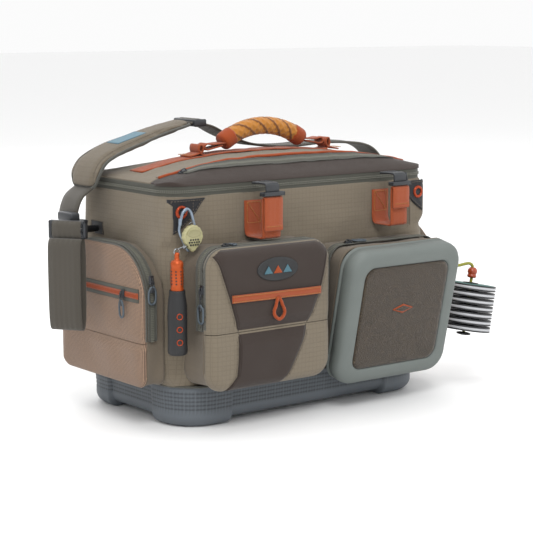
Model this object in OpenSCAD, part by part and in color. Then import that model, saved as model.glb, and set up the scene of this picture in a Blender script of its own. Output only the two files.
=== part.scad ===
// Soft gear bag on a moulded base: zipped lid with carry handle, zipped front and end pockets,
// fold-down bench pocket, rod straps, shoulder strap, retractor and spool stack.
// Origin: centre of the underside of the base. +X along the length, -Y to the front, +Z up.

/* [Base] */
// Length of the moulded base
base_l = 360; // [350:1:366]
// Depth of the moulded base
base_w = 212; // [206:1:216]
// Height of the moulded base
base_h = 47; // [42:1:50]
// Plan radius of the base corners
base_r = 45; // [30:1:50]
// How far the corner feet stand out from the base
foot_out = 4; // [2:0.5:5]

/* [Body] */
// Length of the fabric body
body_l = 374; // [370:1:376]
// Depth of the fabric body
body_w = 186; // [182:1:188]
// Height of the zip line
zip_z = 262; // [258:1:264]
// Plan radius of the body corners
body_r = 26; // [20:1:30]
// Thickness of the padded fabric walls
wall_t = 3; // [2:0.5:4]

/* [Lid] */
// Height of the lid crown
lid_top = 293; // [290:1:295]
// Height of the orange piping line
piping_z = 290; // [286:1:291]
// Fall of the lid crown towards each end
lid_sag = 23; // [18:1:24]

/* [Front pocket] */
// Left and right edges of the front pocket
fp_x0 = -170; // [-172:1:-166]
fp_x1 = -3; // [-6:1:-3]
// Height of its top
fp_top = 203; // [198:1:205]
// Front face of the pocket
fp_y = -145; // [-147:1:-143]
// Height of the fold line of the flap
fp_hinge_z = 112; // [110:1:116]

/* [Bench pocket] */
// Width of the moulded bench tray
tray_w = 166; // [160:1:168]
// Length of the moulded bench tray
tray_h = 160; // [154:1:162]
// Forward lean of the tray, in degrees
tray_lean = 12; // [10:1:13]

/* [End pockets] */
// Stand-off of the end pockets from the middle of the bag
ep_x = 216; // [214:1:217]
// Height of the fold line of the end flaps
ep_hinge_z = 98; // [97:1:100]
// Height of the top of the end pockets
ep_top = 200; // [198:1:201]

/* [Hidden] */

$fn = 48;
tan_cloth = "#96897a";
brown_cloth = "#443832";
grey_tape = "#5f5f58";
orange_web = "#be5828";

top_z = zip_z - 0.3;
tape_h = 6;
lid_z0 = zip_z + 0.3;
lid_x = body_l / 2 + 1;
lid_y = body_w / 2 + 1;
arc_r = (lid_x * lid_x + lid_sag * lid_sag) / (2 * lid_sag);
fp_back = -body_w / 2;
fp_part = fp_y + 13;
tray_pivot = [91, -112, 36];
tray_t = 32;
ep_back = body_l / 2;
ep_r = 58;
strap_pivot_y = 48;
strap_pivot_z = 210;
ring_x = 210;
spool_r = 32;
tip_pos = [262, -91, 90];
tip_tilt = 10;

// ---- shared shapes ----

module rounded(l, w, r) {
    for (sx = [-1, 1]) for (sy = [-1, 1])
        translate([sx * (l / 2 - r), sy * (w / 2 - r)]) circle(r);
    square([l - 2 * r, w], center = true);
    square([l, w - 2 * r], center = true);
}

module plan(l, w, r, z0, z1) {
    translate([0, 0, z0]) linear_extrude(z1 - z0) rounded(l, w, r);
}

// A box given by its two corners
module span(a, b) {
    translate(a) cube(b - a);
}

// An upright panel outline: straight below, rounded above, lying in the XZ plane
module arch_yz(y0, y1, z0, z1, r) {
    translate([(y0 + y1) / 2, (z0 + z1) / 2]) rounded(y1 - y0, z1 - z0, r);
}

// Extrudes a YZ outline along X
module along_x(x0, x1) {
    translate([x0, 0, 0]) rotate([90, 0, 90]) linear_extrude(x1 - x0) children();
}

// Extrudes an XZ outline along Y, from y0 back to y1
module along_y(y0, y1) {
    translate([0, y1, 0]) rotate([90, 0, 0]) linear_extrude(y1 - y0) children();
}

// A flat strap in the XZ plane, running through a list of points
module strap_run(pts, y, w, t) {
    n = len(pts);
    up = [for (i = [0 : n - 1]) let (a = pts[max(i - 1, 0)], b = pts[min(i + 1, n - 1)],
        d = (b - a) / norm(b - a)) pts[i] + [-d[1], d[0]] * t / 2];
    dn = [for (i = [n - 1 : -1 : 0]) let (a = pts[max(i - 1, 0)], b = pts[min(i + 1, n - 1)],
        d = (b - a) / norm(b - a)) pts[i] - [-d[1], d[0]] * t / 2];
    along_y(y - w / 2, y + w / 2) polygon(concat(up, dn));
}

// ---- body ----

module body_front_panel() {
    color(tan_cloth)
        span([-body_l / 2 + body_r, -body_w / 2, base_h],
            [body_l / 2 - body_r, -body_w / 2 + wall_t, zip_z - tape_h]);
}

module body_back_panel() {
    color(tan_cloth)
        span([-body_l / 2 + body_r, body_w / 2 - wall_t, base_h],
            [body_l / 2 - body_r, body_w / 2, zip_z - tape_h]);
}

module body_end_panels() {
    color(tan_cloth) difference() {
        plan(body_l, body_w, body_r, base_h, zip_z - tape_h);
        plan(body_l - 2 * wall_t, body_w - 2 * wall_t, body_r - wall_t, base_h - 1, zip_z);
        cube([body_l - 2 * body_r, 2 * body_w, 2 * zip_z], center = true);
    }
}

module molded_base() {
    rim_h = 5;
    color("#5a6670") difference() {
        union() {
            plan(base_l, base_w, base_r, 5, base_h);
            plan(base_l - 60, base_w - 60, base_r - 20, 0, 6);
            plan(body_l, base_w, base_r, base_h - rim_h, base_h);
            difference() {
                plan(base_l + 2 * foot_out, base_w + 2 * foot_out, base_r + foot_out, 0, base_h - rim_h);
                cube([224, 2 * base_w, 4 * base_h], center = true);
                cube([2 * base_l, 88, 4 * base_h], center = true);
            }
        }
        plan(body_l - 2 * wall_t - 20, body_w - 2 * wall_t, body_r + 4, 9, base_h + 1);
    }
}

module body_zip_tape() {
    color(grey_tape) difference() {
        plan(body_l + 2, body_w + 2, body_r + 1, zip_z - tape_h, top_z);
        plan(body_l - 2 * wall_t, body_w - 2 * wall_t, body_r - wall_t, zip_z - tape_h - 1, zip_z);
    }
}

grommet_z = 246;
grommet_x = 172;
grommet_r = 4;
tab_y = -body_w / 2;

module corner_tabs() {
    color("#2f2f33") for (s = [-1, 1]) difference() {
        along_y(tab_y - 2, tab_y) polygon([[s * 185, 254], [s * 140, 254], [s * 152, 240], [s * 185, 214]]);
        translate([s * grommet_x, tab_y, grommet_z - 6]) rotate([90, 0, 0])
            cylinder(r = 6, h = 9, center = true);
    }
}

module tab_grommets() {
    color(orange_web) for (s = [-1, 1])
        translate([s * grommet_x, tab_y, grommet_z - 6]) rotate([90, 0, 0]) difference() {
            union() {
                cylinder(r = 6, h = 2);
                translate([0, 0, 2]) cylinder(r = 7.5, h = 1);
            }
            translate([0, 0, -1]) cylinder(r = grommet_r, h = 5);
        }
}

// ---- front pocket ----

module pocket_outline(x0, x1, z0, z1, r) {
    translate([(x0 + x1) / 2, (z0 + z1) / 2]) rounded(x1 - x0, z1 - z0, r);
}

module front_pocket_gusset() {
    color("#8d8171") difference() {
        along_y(fp_part + 0.6, fp_back) pocket_outline(fp_x0, fp_x1, 48, fp_top, 22);
        along_y(fp_part - 1, fp_back - 2) pocket_outline(fp_x0 + 2, fp_x1 - 2, 50, fp_top - 2, 20);
    }
}

module front_pocket_lower_panel() {
    color(brown_cloth) intersection() {
        difference() {
            along_y(fp_y, fp_part + 0.6) pocket_outline(fp_x0, fp_x1, 48, fp_top, 22);
            along_y(fp_y + 2, fp_part + 2) pocket_outline(fp_x0 + 2, fp_x1 - 2, 50, fp_top - 2, 20);
        }
        span([-200, -200, 0], [0, 0, fp_hinge_z - 0.4]);
    }
}

module front_flap_panel() {
    color(brown_cloth) intersection() {
        difference() {
            along_y(fp_y, fp_part) pocket_outline(fp_x0, fp_x1, 48, fp_top, 22);
            along_y(fp_y + 2, fp_part + 2) pocket_outline(fp_x0 + 2, fp_x1 - 2, 50, fp_top - 2, 20);
        }
        span([-200, -200, fp_hinge_z + 0.4], [0, 0, 300]);
    }
}

module front_flap_band() {
    color(orange_web) difference() {
        along_y(fp_y - 2.5, fp_y) union() {
            translate([-84, 149]) square([118, 9], center = true);
            translate([-84, 135]) difference() {
                rounded(20, 24, 9.9);
                rounded(13, 17, 6.4);
            }
        }
    }
}

// ---- bench pocket ----

module tray_place() {
    translate(tray_pivot) rotate([tray_lean, 0, 0]) children();
}

module tray_outline(inset) {
    translate([0, tray_h / 2]) rounded(tray_w - 2 * inset, tray_h - 2 * inset, 24 - inset);
}

module bench_shell() {
    color("#7d8480") tray_place() difference() {
        along_y(-tray_t + 2, -4) tray_outline(0);
        along_y(-tray_t + 6, 0) tray_outline(4);
        along_y(-tray_t, -tray_t + 7) tray_outline(19);
    }
}

module bench_felt() {
    color("#50463c") tray_place() along_y(-tray_t + 3, -tray_t + 6) tray_outline(19);
}

module bench_foam() {
    color("#c9c4b4") tray_place() along_y(-tray_t + 6, -tray_t + 14) tray_outline(12);
}

module bench_gusset() {
    color("#8d8171") difference() {
        along_x(tray_pivot[0] - 80, tray_pivot[0] + 80)
            polygon([[fp_back, 48], [-114, 48], [-139, 190], [fp_back, 190]]);
        along_x(tray_pivot[0] - 78, tray_pivot[0] + 78)
            polygon([[fp_back - 2, 50], [-130, 50], [-155, 188], [fp_back - 2, 188]]);
    }
}

// ---- end pockets ----

ep_y0 = -82;
ep_y1 = 90;

module end_outline(inset) {
    arch_yz(ep_y0 + inset, ep_y1 - inset, 49 + inset, ep_top - inset, ep_r - inset);
    arch_yz(ep_y0 + inset, ep_y1 - inset, 49 + inset, 130, 14 - inset);
}

module end_gusset(s) {
    difference() {
        along_x(s > 0 ? ep_back : -ep_x + 6, s > 0 ? ep_x - 6 : -ep_back) end_outline(0);
        along_x(s > 0 ? ep_back + 1.5 : -ep_x, s > 0 ? ep_x : -ep_back - 1.5) end_outline(2);
    }
}

module end_pocket_gussets() {
    color("#8d8171") for (s = [-1, 1]) end_gusset(s);
}

module end_pocket_lower_meshes() {
    color("#be967d") for (s = [-1, 1]) intersection() {
        along_x(s > 0 ? ep_x - 6 : -ep_x, s > 0 ? ep_x : -ep_x + 6) end_outline(0);
        span([-300, -200, 0], [300, 200, ep_hinge_z - 0.4]);
    }
}

module end_flap(s, y0, x0, x1) {
    intersection() {
        along_x(s > 0 ? x0 : -x1, s > 0 ? x1 : -x0) end_outline(0);
        span([-300, y0, ep_hinge_z + 0.4], [300, 200, 300]);
    }
}

module left_flap_mesh() {
    color("#be967d") difference() {
        end_flap(-1, -200, ep_x - 5.5, ep_x);
        along_x(-ep_x + 2, -ep_x + 7) end_outline(4);
    }
}

module left_flap_zip() {
    color(grey_tape) span([-ep_x - 2, ep_y0 + 4, 145], [-ep_x, ep_y1 - 4, 156]);
}

module right_flap_mesh() {
    color("#be967d") difference() {
        end_flap(1, -52, ep_x - 5.5, ep_x);
        along_x(ep_x - 7, ep_x - 2) end_outline(4);
    }
}

module right_flap_zip() {
    color(grey_tape) span([ep_x, -50, 145], [ep_x + 2, ep_y1 - 4, 156]);
}

// ---- inside ----

module divider_long() {
    color("#6f6a60") span([-56, 6, 10], [56, 12, 180]);
}

module dividers_cross() {
    color("#6f6a60") for (x = [-60, 60])
        span([x - 3.5, -88, 10], [x + 3.5, 88, 180]);
}

// ---- strap anchors ----

module ring_tabs() {
    color("#5f5a52") for (s = [-1, 1])
        translate([s * (ep_back + 1.5), strap_pivot_y, strap_pivot_z + 1]) cube([3, 30, 20], center = true);
}

// Closed ring: a bar along X that the hook turns on, and a bow below it
module d_rings() {
    color("#3c3e41") for (s = [-1, 1]) translate([s * (ep_back + 3), strap_pivot_y, strap_pivot_z]) {
        rotate([0, s * 90, 0]) cylinder(r = 4, h = ring_x + 6 - ep_back - 3);
        translate([s * (ring_x + 7 - ep_back - 3), 0, 0]) rotate([0, 90, 0])
            cylinder(r = 6.5, h = 2, center = true);
    }
}

// ---- rod straps ----

rod_x = [-75, 112];
rod_top_z = [262, 256];
rod_low_z = 208;

module rod_strap_tabs() {
    color(orange_web) for (x = rod_x) {
        span([x - 12.5, -body_w / 2 - 1.5, rod_low_z - 4], [x + 12.5, -body_w / 2, rod_low_z + 40]);
        span([x - 12.5, -124, rod_low_z - 1], [x + 12.5, -body_w / 2 - 1.5, rod_low_z + 1]);
    }
}

module rod_web(i) {
    x = rod_x[i];
    color(orange_web) {
        span([x - 12.5, -128, rod_low_z - 1.5], [x + 12.5, -126, 252]);
        span([x - 12.5, -132, rod_low_z + (i > 0 ? 20 : 8)], [x + 12.5, -130, 252]);
        span([x - 12.5, -132, 252], [x + 12.5, -126, 254]);
    }
}

module rod_hook(i) {
    x = rod_x[i];
    color("#3c3e42") {
        span([x - 15, -133, 254], [x + 15, -125, 259]);
        span([x - 9, -130, 259], [x + 9, -127, 266]);
        span([x - 9, -130, 266], [x + 9, -102, 269]);
    }
}

module rod_web_left() rod_web(0);
module rod_web_right() rod_web(1);
module rod_hook_left() rod_hook(0);
module rod_hook_right() rod_hook(1);

// ---- lid ----

// Height of the lid crown above a point along the bag
function crown_z(x) = lid_top - arc_r + sqrt(arc_r * arc_r - x * x);

module lid_form(t) {
    intersection() {
        along_x(-lid_x + t, lid_x - t) polygon([
            [-lid_y + t, zip_z - 2], [-lid_y + t, zip_z + tape_h], [-60, piping_z - t],
            [0, lid_top - t], [35, lid_top - 10 - t], [lid_y - t, zip_z + 2], [lid_y - t, zip_z - 2]]);
        along_y(-lid_y - 1, lid_y + 1) intersection() {
            translate([0, lid_top - arc_r - t]) circle(arc_r, $fn = 360);
            translate([0, zip_z + 10]) square([2 * lid_x, 80], center = true);
        }
        plan(2 * (lid_x - t), 2 * (lid_y - t), body_r + 1 - t, zip_z - 2, 400);
    }
}

module lid_part(z0, y0, y1) {
    difference() {
        lid_form(0);
        lid_form(3);
        span([-300, -300, 0], [300, 300, z0]);
        span([-300, -300, 0], [300, y0, 400]);
        span([-300, y1, 0], [300, 300, 400]);
    }
}

module lid_shell() {
    color(tan_cloth) lid_part(zip_z + tape_h, -60, 300);
}

module lid_front_band() {
    color(brown_cloth) lid_part(zip_z + tape_h, -300, -60);
}

module lid_zip_tape() {
    color(grey_tape) intersection() {
        lid_part(lid_z0, -300, 300);
        span([-300, -300, lid_z0], [300, 300, zip_z + tape_h]);
    }
}

module lid_lining() {
    color("#807a6c") plan(2 * lid_x - 6.4, 2 * lid_y - 6.4, body_r - 2, lid_z0 + 0.2, lid_z0 + 1.7);
}

module lid_webbing() {
    color(orange_web) intersection() {
        difference() {
            translate([0, 0, 1.5]) lid_form(0);
            lid_form(0);
        }
        span([-168, -12.5, 200], [120, 12.5, 400]);
    }
    color(orange_web) for (s = [-1, 1])
        span([grip_x + s * 94 - 4, -9, crown_z(grip_x + s * 90) + 2],
            [grip_x + s * 94 + 4, 9, handle_pivot_z + 4]);
}

// ---- handle ----

grip_x = 9;
grip_r = 104;
grip_half = 33;
grip_z = 321 - grip_r;
handle_pivot_z = 300;

module grip_arc(r, half) {
    translate([grip_x, 0, grip_z]) rotate([90, 0, 0]) rotate([0, 0, 90 - half])
        rotate_extrude(angle = 2 * half, $fn = 96) translate([grip_r, 0]) circle(r, $fn = 24);
}

module handle_grip() {
    color("#d78c32") grip_arc(10.5, grip_half);
}

module handle_loops() {
    color(orange_web) for (s = [-1, 1]) {
        translate([grip_x + s * 82, 0, handle_pivot_z]) rotate([0, 90, 0])
            cylinder(r = 3.5, h = 14, center = true);
        translate([grip_x + s * 69, 0, handle_pivot_z + 2]) rotate([0, s * 8, 0])
            cube([20, 14, 5], center = true);
    }
}

// ---- shoulder strap ----

strap_w = 38;
pad_w = 50;
strap_t = 2.4;
pad_pts = [[-206, 258], [-203, 274], [-192, 288], [-168, 299], [-140, 307], [-112, 315],
    [-85, 321], [-70, 323.6]];
web_left = [[-226, 222], [-227, 232], [-220, 248], [-207.2, 257.2]];
web_right = [[-51, 323], [-38, 319], [-20, 310], [0, 302], [21, 296], [50, 292], [83, 291],
    [127, 293], [160, 292], [195, 288], [215, 278], [226, 262], [228, 240], [226, 222]];

module shoulder_pad() {
    color("#8f8272") strap_run(pad_pts, strap_pivot_y, pad_w, 9);
}

module strap_web() {
    color("#5f5a52") {
        strap_run(web_left, strap_pivot_y, strap_w, strap_t);
        strap_run(web_right, strap_pivot_y, strap_w, strap_t);
    }
}

module strap_buckles() {
    color("#36383b") {
        translate([-60.5, strap_pivot_y, 325]) cube([17, 46, 9], center = true);
        translate([-246, 18, 216]) rotate([0, 0, -53]) cube([44, 8, 20], center = true);
        translate([-235.5, strap_pivot_y - 14, 228]) cube([12, 30, 10], center = true);
    }
}

module snap_hooks() {
    color("#3c3e41") for (s = [-1, 1])
        translate([s * ring_x, strap_pivot_y, strap_pivot_z]) difference() {
            union() {
                rotate([0, 90, 0]) cylinder(r = 8, h = 7, center = true);
                translate([s * 10, 0, 9.5]) cube([28, 16, 4], center = true);
            }
            rotate([0, 90, 0]) cylinder(r = 4.6, h = 7.2, center = true);
        }
}

module strap_left_loop() {
    color("#5f5a52") translate([-250, 15, 0]) rotate([0, 0, -53]) difference() {
        span([-20, -9, 100], [20, 9, 206]);
        span([-21, -6, 103], [21, 6, 203]);
    }
}

// ---- retractor and thermometer ----

ret_x = -grommet_x;
ret_y = tab_y - 16;

module carabiner() {
    color("#7d8b99") {
        translate([ret_x, tab_y - 8, grommet_z - 6]) rotate([-90, 0, 0]) cylinder(r = 1.5, h = 7.5);
        along_y(tab_y - 11, tab_y - 8) translate([ret_x, 233.5]) difference() {
            rounded(14, 21, 6.9);
            rounded(8, 15, 3.9);
        }
    }
}

module retractor_case() {
    color("#c8c88c") translate([ret_x + 4, ret_y, 214.5]) rotate([90, 0, 0]) {
        cylinder(r = 13.5, h = 8, center = true);
        translate([-4, 12, 3]) cube([6, 12, 2], center = true);
    }
}

therm_x = -189;
therm_y = -110;

module thermometer_tube() {
    color("#dc5f23") translate([therm_x, therm_y, 95]) difference() {
        union() {
            cylinder(r = 7, h = 97);
            translate([0, 0, 97]) cylinder(r = 3, h = 8);
        }
        translate([0, 0, 20]) cylinder(r = 5, h = 72);
    }
}

module thermometer_sheath() {
    color("#232325") translate([therm_x, therm_y, 89]) difference() {
        cylinder(r = 11, h = 70);
        translate([0, 0, 4]) cylinder(r = 7.3, h = 80);
    }
}

// ---- tippet spool stack ----

module tip_place() {
    translate(tip_pos) rotate([0, tip_tilt, 0]) children();
}

module tippet_spools() {
    color("#b9bcc0") tip_place() for (i = [-3 : 3])
        translate([0, 0, i * 8.5]) difference() {
            union() {
                translate([0, 0, -3.6]) cylinder(r = spool_r, h = 1.6);
                translate([0, 0, 2]) cylinder(r = spool_r, h = 1.6);
                translate([0, 0, -3]) cylinder(r = spool_r - 6, h = 6);
            }
            cylinder(r = 5, h = 20, center = true);
        }
}

module tippet_cord() {
    color("#aaaa32") tip_place() {
        translate([0, 0, -33]) cylinder(r = 2, h = 90);
        translate([0, 0, -36]) cylinder(r = 9, h = 4);
    }
    color("#aaaa32") span([ep_back, -93, 141], [tip_pos[0] + 10, -89, 145]);
}

module tippet_toggle() {
    color("#c84b23") tip_place() translate([0, 0, 35.5]) difference() {
        cylinder(r = 6, h = 14);
        translate([0, 0, -1]) cylinder(r = 2.3, h = 20);
    }
}

// ---- sliders: a small body on the zip with a hanging pull ----

module flat_slider() {
    cube([10, 6, 3]);
    translate([2, 1.5, 3]) cube([6, 3, 1.5]);
}

module slider(drop, w) {
    translate([-3, -3, -5]) cube([6, 3, 10]);
    translate([-w / 2, -4.5, -drop]) cube([w, 1.5, drop]);
}

module lid_pocket_slider() {
    color("#46484c") translate([-150, -66, 279.9]) rotate([0, -9.5, 0]) flat_slider();
}

module front_slider_top() {
    color("#46484c") translate([-140, fp_part + 1, fp_top]) flat_slider();
}

module front_slider_left() {
    color("#46484c") translate([fp_x0 - 0.5, fp_part, 160]) rotate([0, 0, -90]) slider(36, 9);
}

module bench_slider_top() {
    color("#46484c") translate([40, -126, 190]) flat_slider();
}

module bench_slider_left() {
    color("#46484c") translate([tray_pivot[0] - 81, -120, 170]) rotate([0, 0, -90]) slider(26, 9);
}

module left_arch_slider() {
    color("#46484c") translate([-ep_x + 7, ep_y0, 170]) slider(26, 9);
}

module left_mesh_slider() {
    color("#46484c") translate([-ep_x - 2.2, -50, 150]) rotate([0, 0, -90]) slider(26, 9);
}

module main_zip_slider() {
    color("#46484c") translate([150, -body_w / 2 - 1.3, zip_z - 3]) slider(16, 6);
}

body_front_panel();
body_back_panel();
body_end_panels();
molded_base();
body_zip_tape();
corner_tabs();
tab_grommets();
front_pocket_gusset();
front_pocket_lower_panel();
bench_gusset();
end_pocket_gussets();
end_pocket_lower_meshes();
divider_long();
dividers_cross();
ring_tabs();
d_rings();
rod_strap_tabs();
lid_shell();
lid_front_band();
lid_zip_tape();
lid_webbing();
lid_lining();
handle_grip();
handle_loops();
shoulder_pad();
strap_web();
strap_buckles();
snap_hooks();
strap_left_loop();
front_flap_panel();
front_flap_band();
bench_shell();
bench_felt();
bench_foam();
left_flap_mesh();
left_flap_zip();
right_flap_mesh();
right_flap_zip();
rod_web_left();
rod_hook_left();
rod_web_right();
rod_hook_right();
carabiner();
retractor_case();
thermometer_tube();
thermometer_sheath();
tippet_cord();
tippet_spools();
tippet_toggle();
lid_pocket_slider();
front_slider_top();
front_slider_left();
bench_slider_top();
bench_slider_left();
left_arch_slider();
left_mesh_slider();
main_zip_slider();
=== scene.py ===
import math

import bmesh
import bpy
import numpy as np
from mathutils import Matrix, Vector, noise


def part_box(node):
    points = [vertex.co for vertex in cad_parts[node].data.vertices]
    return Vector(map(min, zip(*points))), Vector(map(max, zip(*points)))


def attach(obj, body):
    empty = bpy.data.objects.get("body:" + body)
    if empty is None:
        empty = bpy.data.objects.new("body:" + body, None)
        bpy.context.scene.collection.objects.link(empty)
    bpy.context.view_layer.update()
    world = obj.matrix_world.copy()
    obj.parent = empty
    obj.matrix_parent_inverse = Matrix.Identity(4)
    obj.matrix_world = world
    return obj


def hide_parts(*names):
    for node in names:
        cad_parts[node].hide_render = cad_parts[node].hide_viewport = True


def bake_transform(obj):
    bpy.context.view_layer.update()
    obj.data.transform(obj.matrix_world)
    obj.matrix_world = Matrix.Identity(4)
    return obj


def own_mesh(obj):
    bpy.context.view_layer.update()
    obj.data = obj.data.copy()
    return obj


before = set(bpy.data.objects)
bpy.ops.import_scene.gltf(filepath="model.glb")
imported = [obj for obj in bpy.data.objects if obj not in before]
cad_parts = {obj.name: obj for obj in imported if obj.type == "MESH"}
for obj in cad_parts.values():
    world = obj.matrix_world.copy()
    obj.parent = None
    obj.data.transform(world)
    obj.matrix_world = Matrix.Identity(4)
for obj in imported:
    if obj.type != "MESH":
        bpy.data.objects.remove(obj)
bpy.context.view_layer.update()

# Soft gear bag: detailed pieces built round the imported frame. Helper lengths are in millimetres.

MM = 0.001
BAG_X, BAG_Y, CORNER = 187, 93, 27          # half width, half depth and corner radius of the bag's outline
WALL_LOW, WALL_HIGH = 46, 256.5             # the cloth wall, from the base rim to the zip tape


def node_box(name):
    """A CAD node's lowest and highest corner, in millimetres."""
    low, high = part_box(name)
    return np.array(low) / MM, np.array(high) / MM


# ---------------------------------------------------------------- camera, light and floor

AZIMUTH, ELEVATION = math.radians(-37.59), math.radians(8.75)
TARGET = Vector((0.016, 0.0, 0.1522))
DISTANCE = 1.974
FOCAL_MM = 111.6


def make_camera():
    data = bpy.data.cameras.new("camera")
    data.lens, data.sensor_width, data.clip_end = FOCAL_MM, 36, 50
    camera = bpy.data.objects.new("camera", data)
    bpy.context.scene.collection.objects.link(camera)
    back = Vector((math.sin(AZIMUTH) * math.cos(ELEVATION), -math.cos(AZIMUTH) * math.cos(ELEVATION),
                   math.sin(ELEVATION)))
    camera.location = TARGET + back * DISTANCE
    camera.rotation_euler = back.to_track_quat("Z", "Y").to_euler()
    bpy.context.scene.camera = camera


def area_light(name, place, size, power, colour=(1, 1, 1)):
    data = bpy.data.lights.new(name, "AREA")
    data.size, data.energy, data.color = size, power, colour
    light = bpy.data.objects.new(name, data)
    bpy.context.scene.collection.objects.link(light)
    light.location = place
    light.rotation_euler = (Vector(place) - TARGET).to_track_quat("Z", "Y").to_euler()


def make_studio():
    area_light("key", (-1.4, -2.2, 2.8), 1.3, 56)
    area_light("fill", (2.6, -1.8, 1.4), 2.6, 12)
    area_light("top", (0.0, 0.4, 3.0), 2.2, 26)
    area_light("back", (0.6, 2.8, 1.6), 2.0, 14)
    world = bpy.data.worlds.new("studio")
    world.use_nodes = True
    world.node_tree.nodes["Background"].inputs["Color"].default_value = (1, 1, 1, 1)
    world.node_tree.nodes["Background"].inputs["Strength"].default_value = 0.97
    bpy.context.scene.world = world
    bpy.ops.mesh.primitive_plane_add(size=30)
    floor = bpy.context.object
    floor.name = "studio_floor"
    surface = bpy.data.materials.new("studio_floor")
    surface.use_nodes = True
    shader = surface.node_tree.nodes["Principled BSDF"]
    shader.inputs["Base Color"].default_value = (0.93, 0.93, 0.93, 1)
    shader.inputs["Roughness"].default_value = 0.6
    floor.data.materials.append(surface)
    bpy.context.scene.view_settings.view_transform = "Standard"


make_camera()
make_studio()

# ---------------------------------------------------------------- materials


class Shader:
    """A material under construction, with short calls for its nodes."""

    def __init__(self, name, rough=0.7, metal=0.0, sheen=0.0, coat=0.0, specular=0.5):
        self.material = bpy.data.materials.new(name)
        self.material.use_nodes = True
        self.tree = self.material.node_tree
        self.main = self.tree.nodes["Principled BSDF"]
        self.main.inputs["Roughness"].default_value = rough
        self.main.inputs["Metallic"].default_value = metal
        self.main.inputs["Sheen Weight"].default_value = sheen
        self.main.inputs["Sheen Roughness"].default_value = 0.5
        self.main.inputs["Coat Weight"].default_value = coat
        self.main.inputs["Specular IOR Level"].default_value = specular
        coords = self.tree.nodes.new("ShaderNodeTexCoord")
        self.object = coords.outputs["Object"]
        split = self.tree.nodes.new("ShaderNodeSeparateXYZ")
        self.tree.links.new(coords.outputs["UV"], split.inputs[0])
        self.u, self.v = split.outputs[0], split.outputs[1]

    def plug(self, value, socket):
        if isinstance(value, (int, float)):
            socket.default_value = value
        elif isinstance(value, tuple):
            socket.default_value = (*value, 1) if len(value) == 3 else value
        else:
            self.tree.links.new(value, socket)

    def math(self, kind, a, b=0.0, c=0.0):
        step = self.tree.nodes.new("ShaderNodeMath")
        step.operation = kind
        for value, socket in zip((a, b, c), step.inputs):
            self.plug(value, socket)
        return step.outputs[0]

    def mix(self, amount, a, b):
        step = self.tree.nodes.new("ShaderNodeMix")
        step.data_type = "RGBA"
        self.plug(amount, step.inputs["Factor"])
        self.plug(a, step.inputs[6])
        self.plug(b, step.inputs[7])
        return step.outputs[2]

    def noise(self, scale, detail=3.0, where=None):
        step = self.tree.nodes.new("ShaderNodeTexNoise")
        step.inputs["Scale"].default_value = scale
        step.inputs["Detail"].default_value = detail
        self.tree.links.new(where or self.object, step.inputs["Vector"])
        return step.outputs["Fac"]

    def wave(self, value, pitch):
        """0 to 1 over each pitch, smoothly."""
        turn = self.math("MULTIPLY", value, 2 * math.pi / pitch)
        return self.math("MULTIPLY_ADD", self.math("SINE", turn), 0.5, 0.5)

    def line(self, value, pitch, width):
        """1 on lines a pitch apart, else 0."""
        away = self.math("PINGPONG", value, pitch / 2)
        return self.math("LESS_THAN", away, width / 2)

    def attribute(self, name):
        step = self.tree.nodes.new("ShaderNodeAttribute")
        step.attribute_name = name
        return step.outputs["Fac"]

    def finish(self, colour, height=None, depth=0.0003, strength=0.6, rough=None):
        self.plug(colour, self.main.inputs["Base Color"])
        if rough is not None:
            self.plug(rough, self.main.inputs["Roughness"])
        if height is not None:
            bump = self.tree.nodes.new("ShaderNodeBump")
            bump.inputs["Strength"].default_value = strength
            bump.inputs["Distance"].default_value = depth
            self.tree.links.new(height, bump.inputs["Height"])
            self.tree.links.new(bump.outputs[0], self.main.inputs["Normal"])
        return self.material


# Painted shade: every colour is darkened by this one factor in place of dimmer lamps, as the studio is bright and its
# white backdrop must stay white
PAINTED_SHADE_FACTOR = 0.58


def shade(colour, factor):
    return tuple(min(1.0, c * factor) for c in colour)


def srgb(r, g, b):
    """A screen colour from 0 to 255 as the linear values that shaders use, darkened by the painted shade factor."""
    return tuple(PAINTED_SHADE_FACTOR * ((c / 255 + 0.055) / 1.055) ** 2.4 for c in (r, g, b))


def cloth(name, colour, pitch=0.9, grid=None, rough=0.82, sheen=0.15, worn=0.22, depth=0.00025):
    """Woven cloth: fine over-and-under weave, an optional ripstop grid, and uneven fading."""
    s = Shader(name, rough=rough, sheen=sheen, specular=0.25)
    weave = s.math("MULTIPLY", s.wave(s.u, pitch), s.wave(s.v, pitch))
    tone = s.mix(weave, shade(colour, 0.86), shade(colour, 1.12))
    height = weave
    if grid:
        rib = s.math("MAXIMUM", s.line(s.u, grid, 0.9), s.line(s.v, grid, 0.9))
        tone = s.mix(s.math("MULTIPLY", rib, 0.42), tone, shade(colour, 0.62))
        height = s.math("ADD", height, rib)
    faded = s.math("MULTIPLY", s.noise(9, 5), worn * 2)
    tone = s.mix(faded, tone, shade(colour, 0.72))
    fluff = s.math("MULTIPLY", s.noise(900, 2), 0.5)
    return s.finish(tone, s.math("ADD", height, fluff), depth)


def webbing(name, colour, rough=0.72):
    """Flat woven webbing: chevron ribs across and a firmer selvedge."""
    s = Shader(name, rough=rough, sheen=0.2, specular=0.3)
    slant = s.math("ADD", s.u, s.math("PINGPONG", s.v, 3.0))
    rib = s.wave(slant, 1.6)
    tone = s.mix(rib, shade(colour, 0.78), shade(colour, 1.15))
    tone = s.mix(s.math("MULTIPLY", s.noise(30, 4), 0.35), tone, shade(colour, 0.7))
    return s.finish(tone, rib, 0.0004, 0.8)


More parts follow.
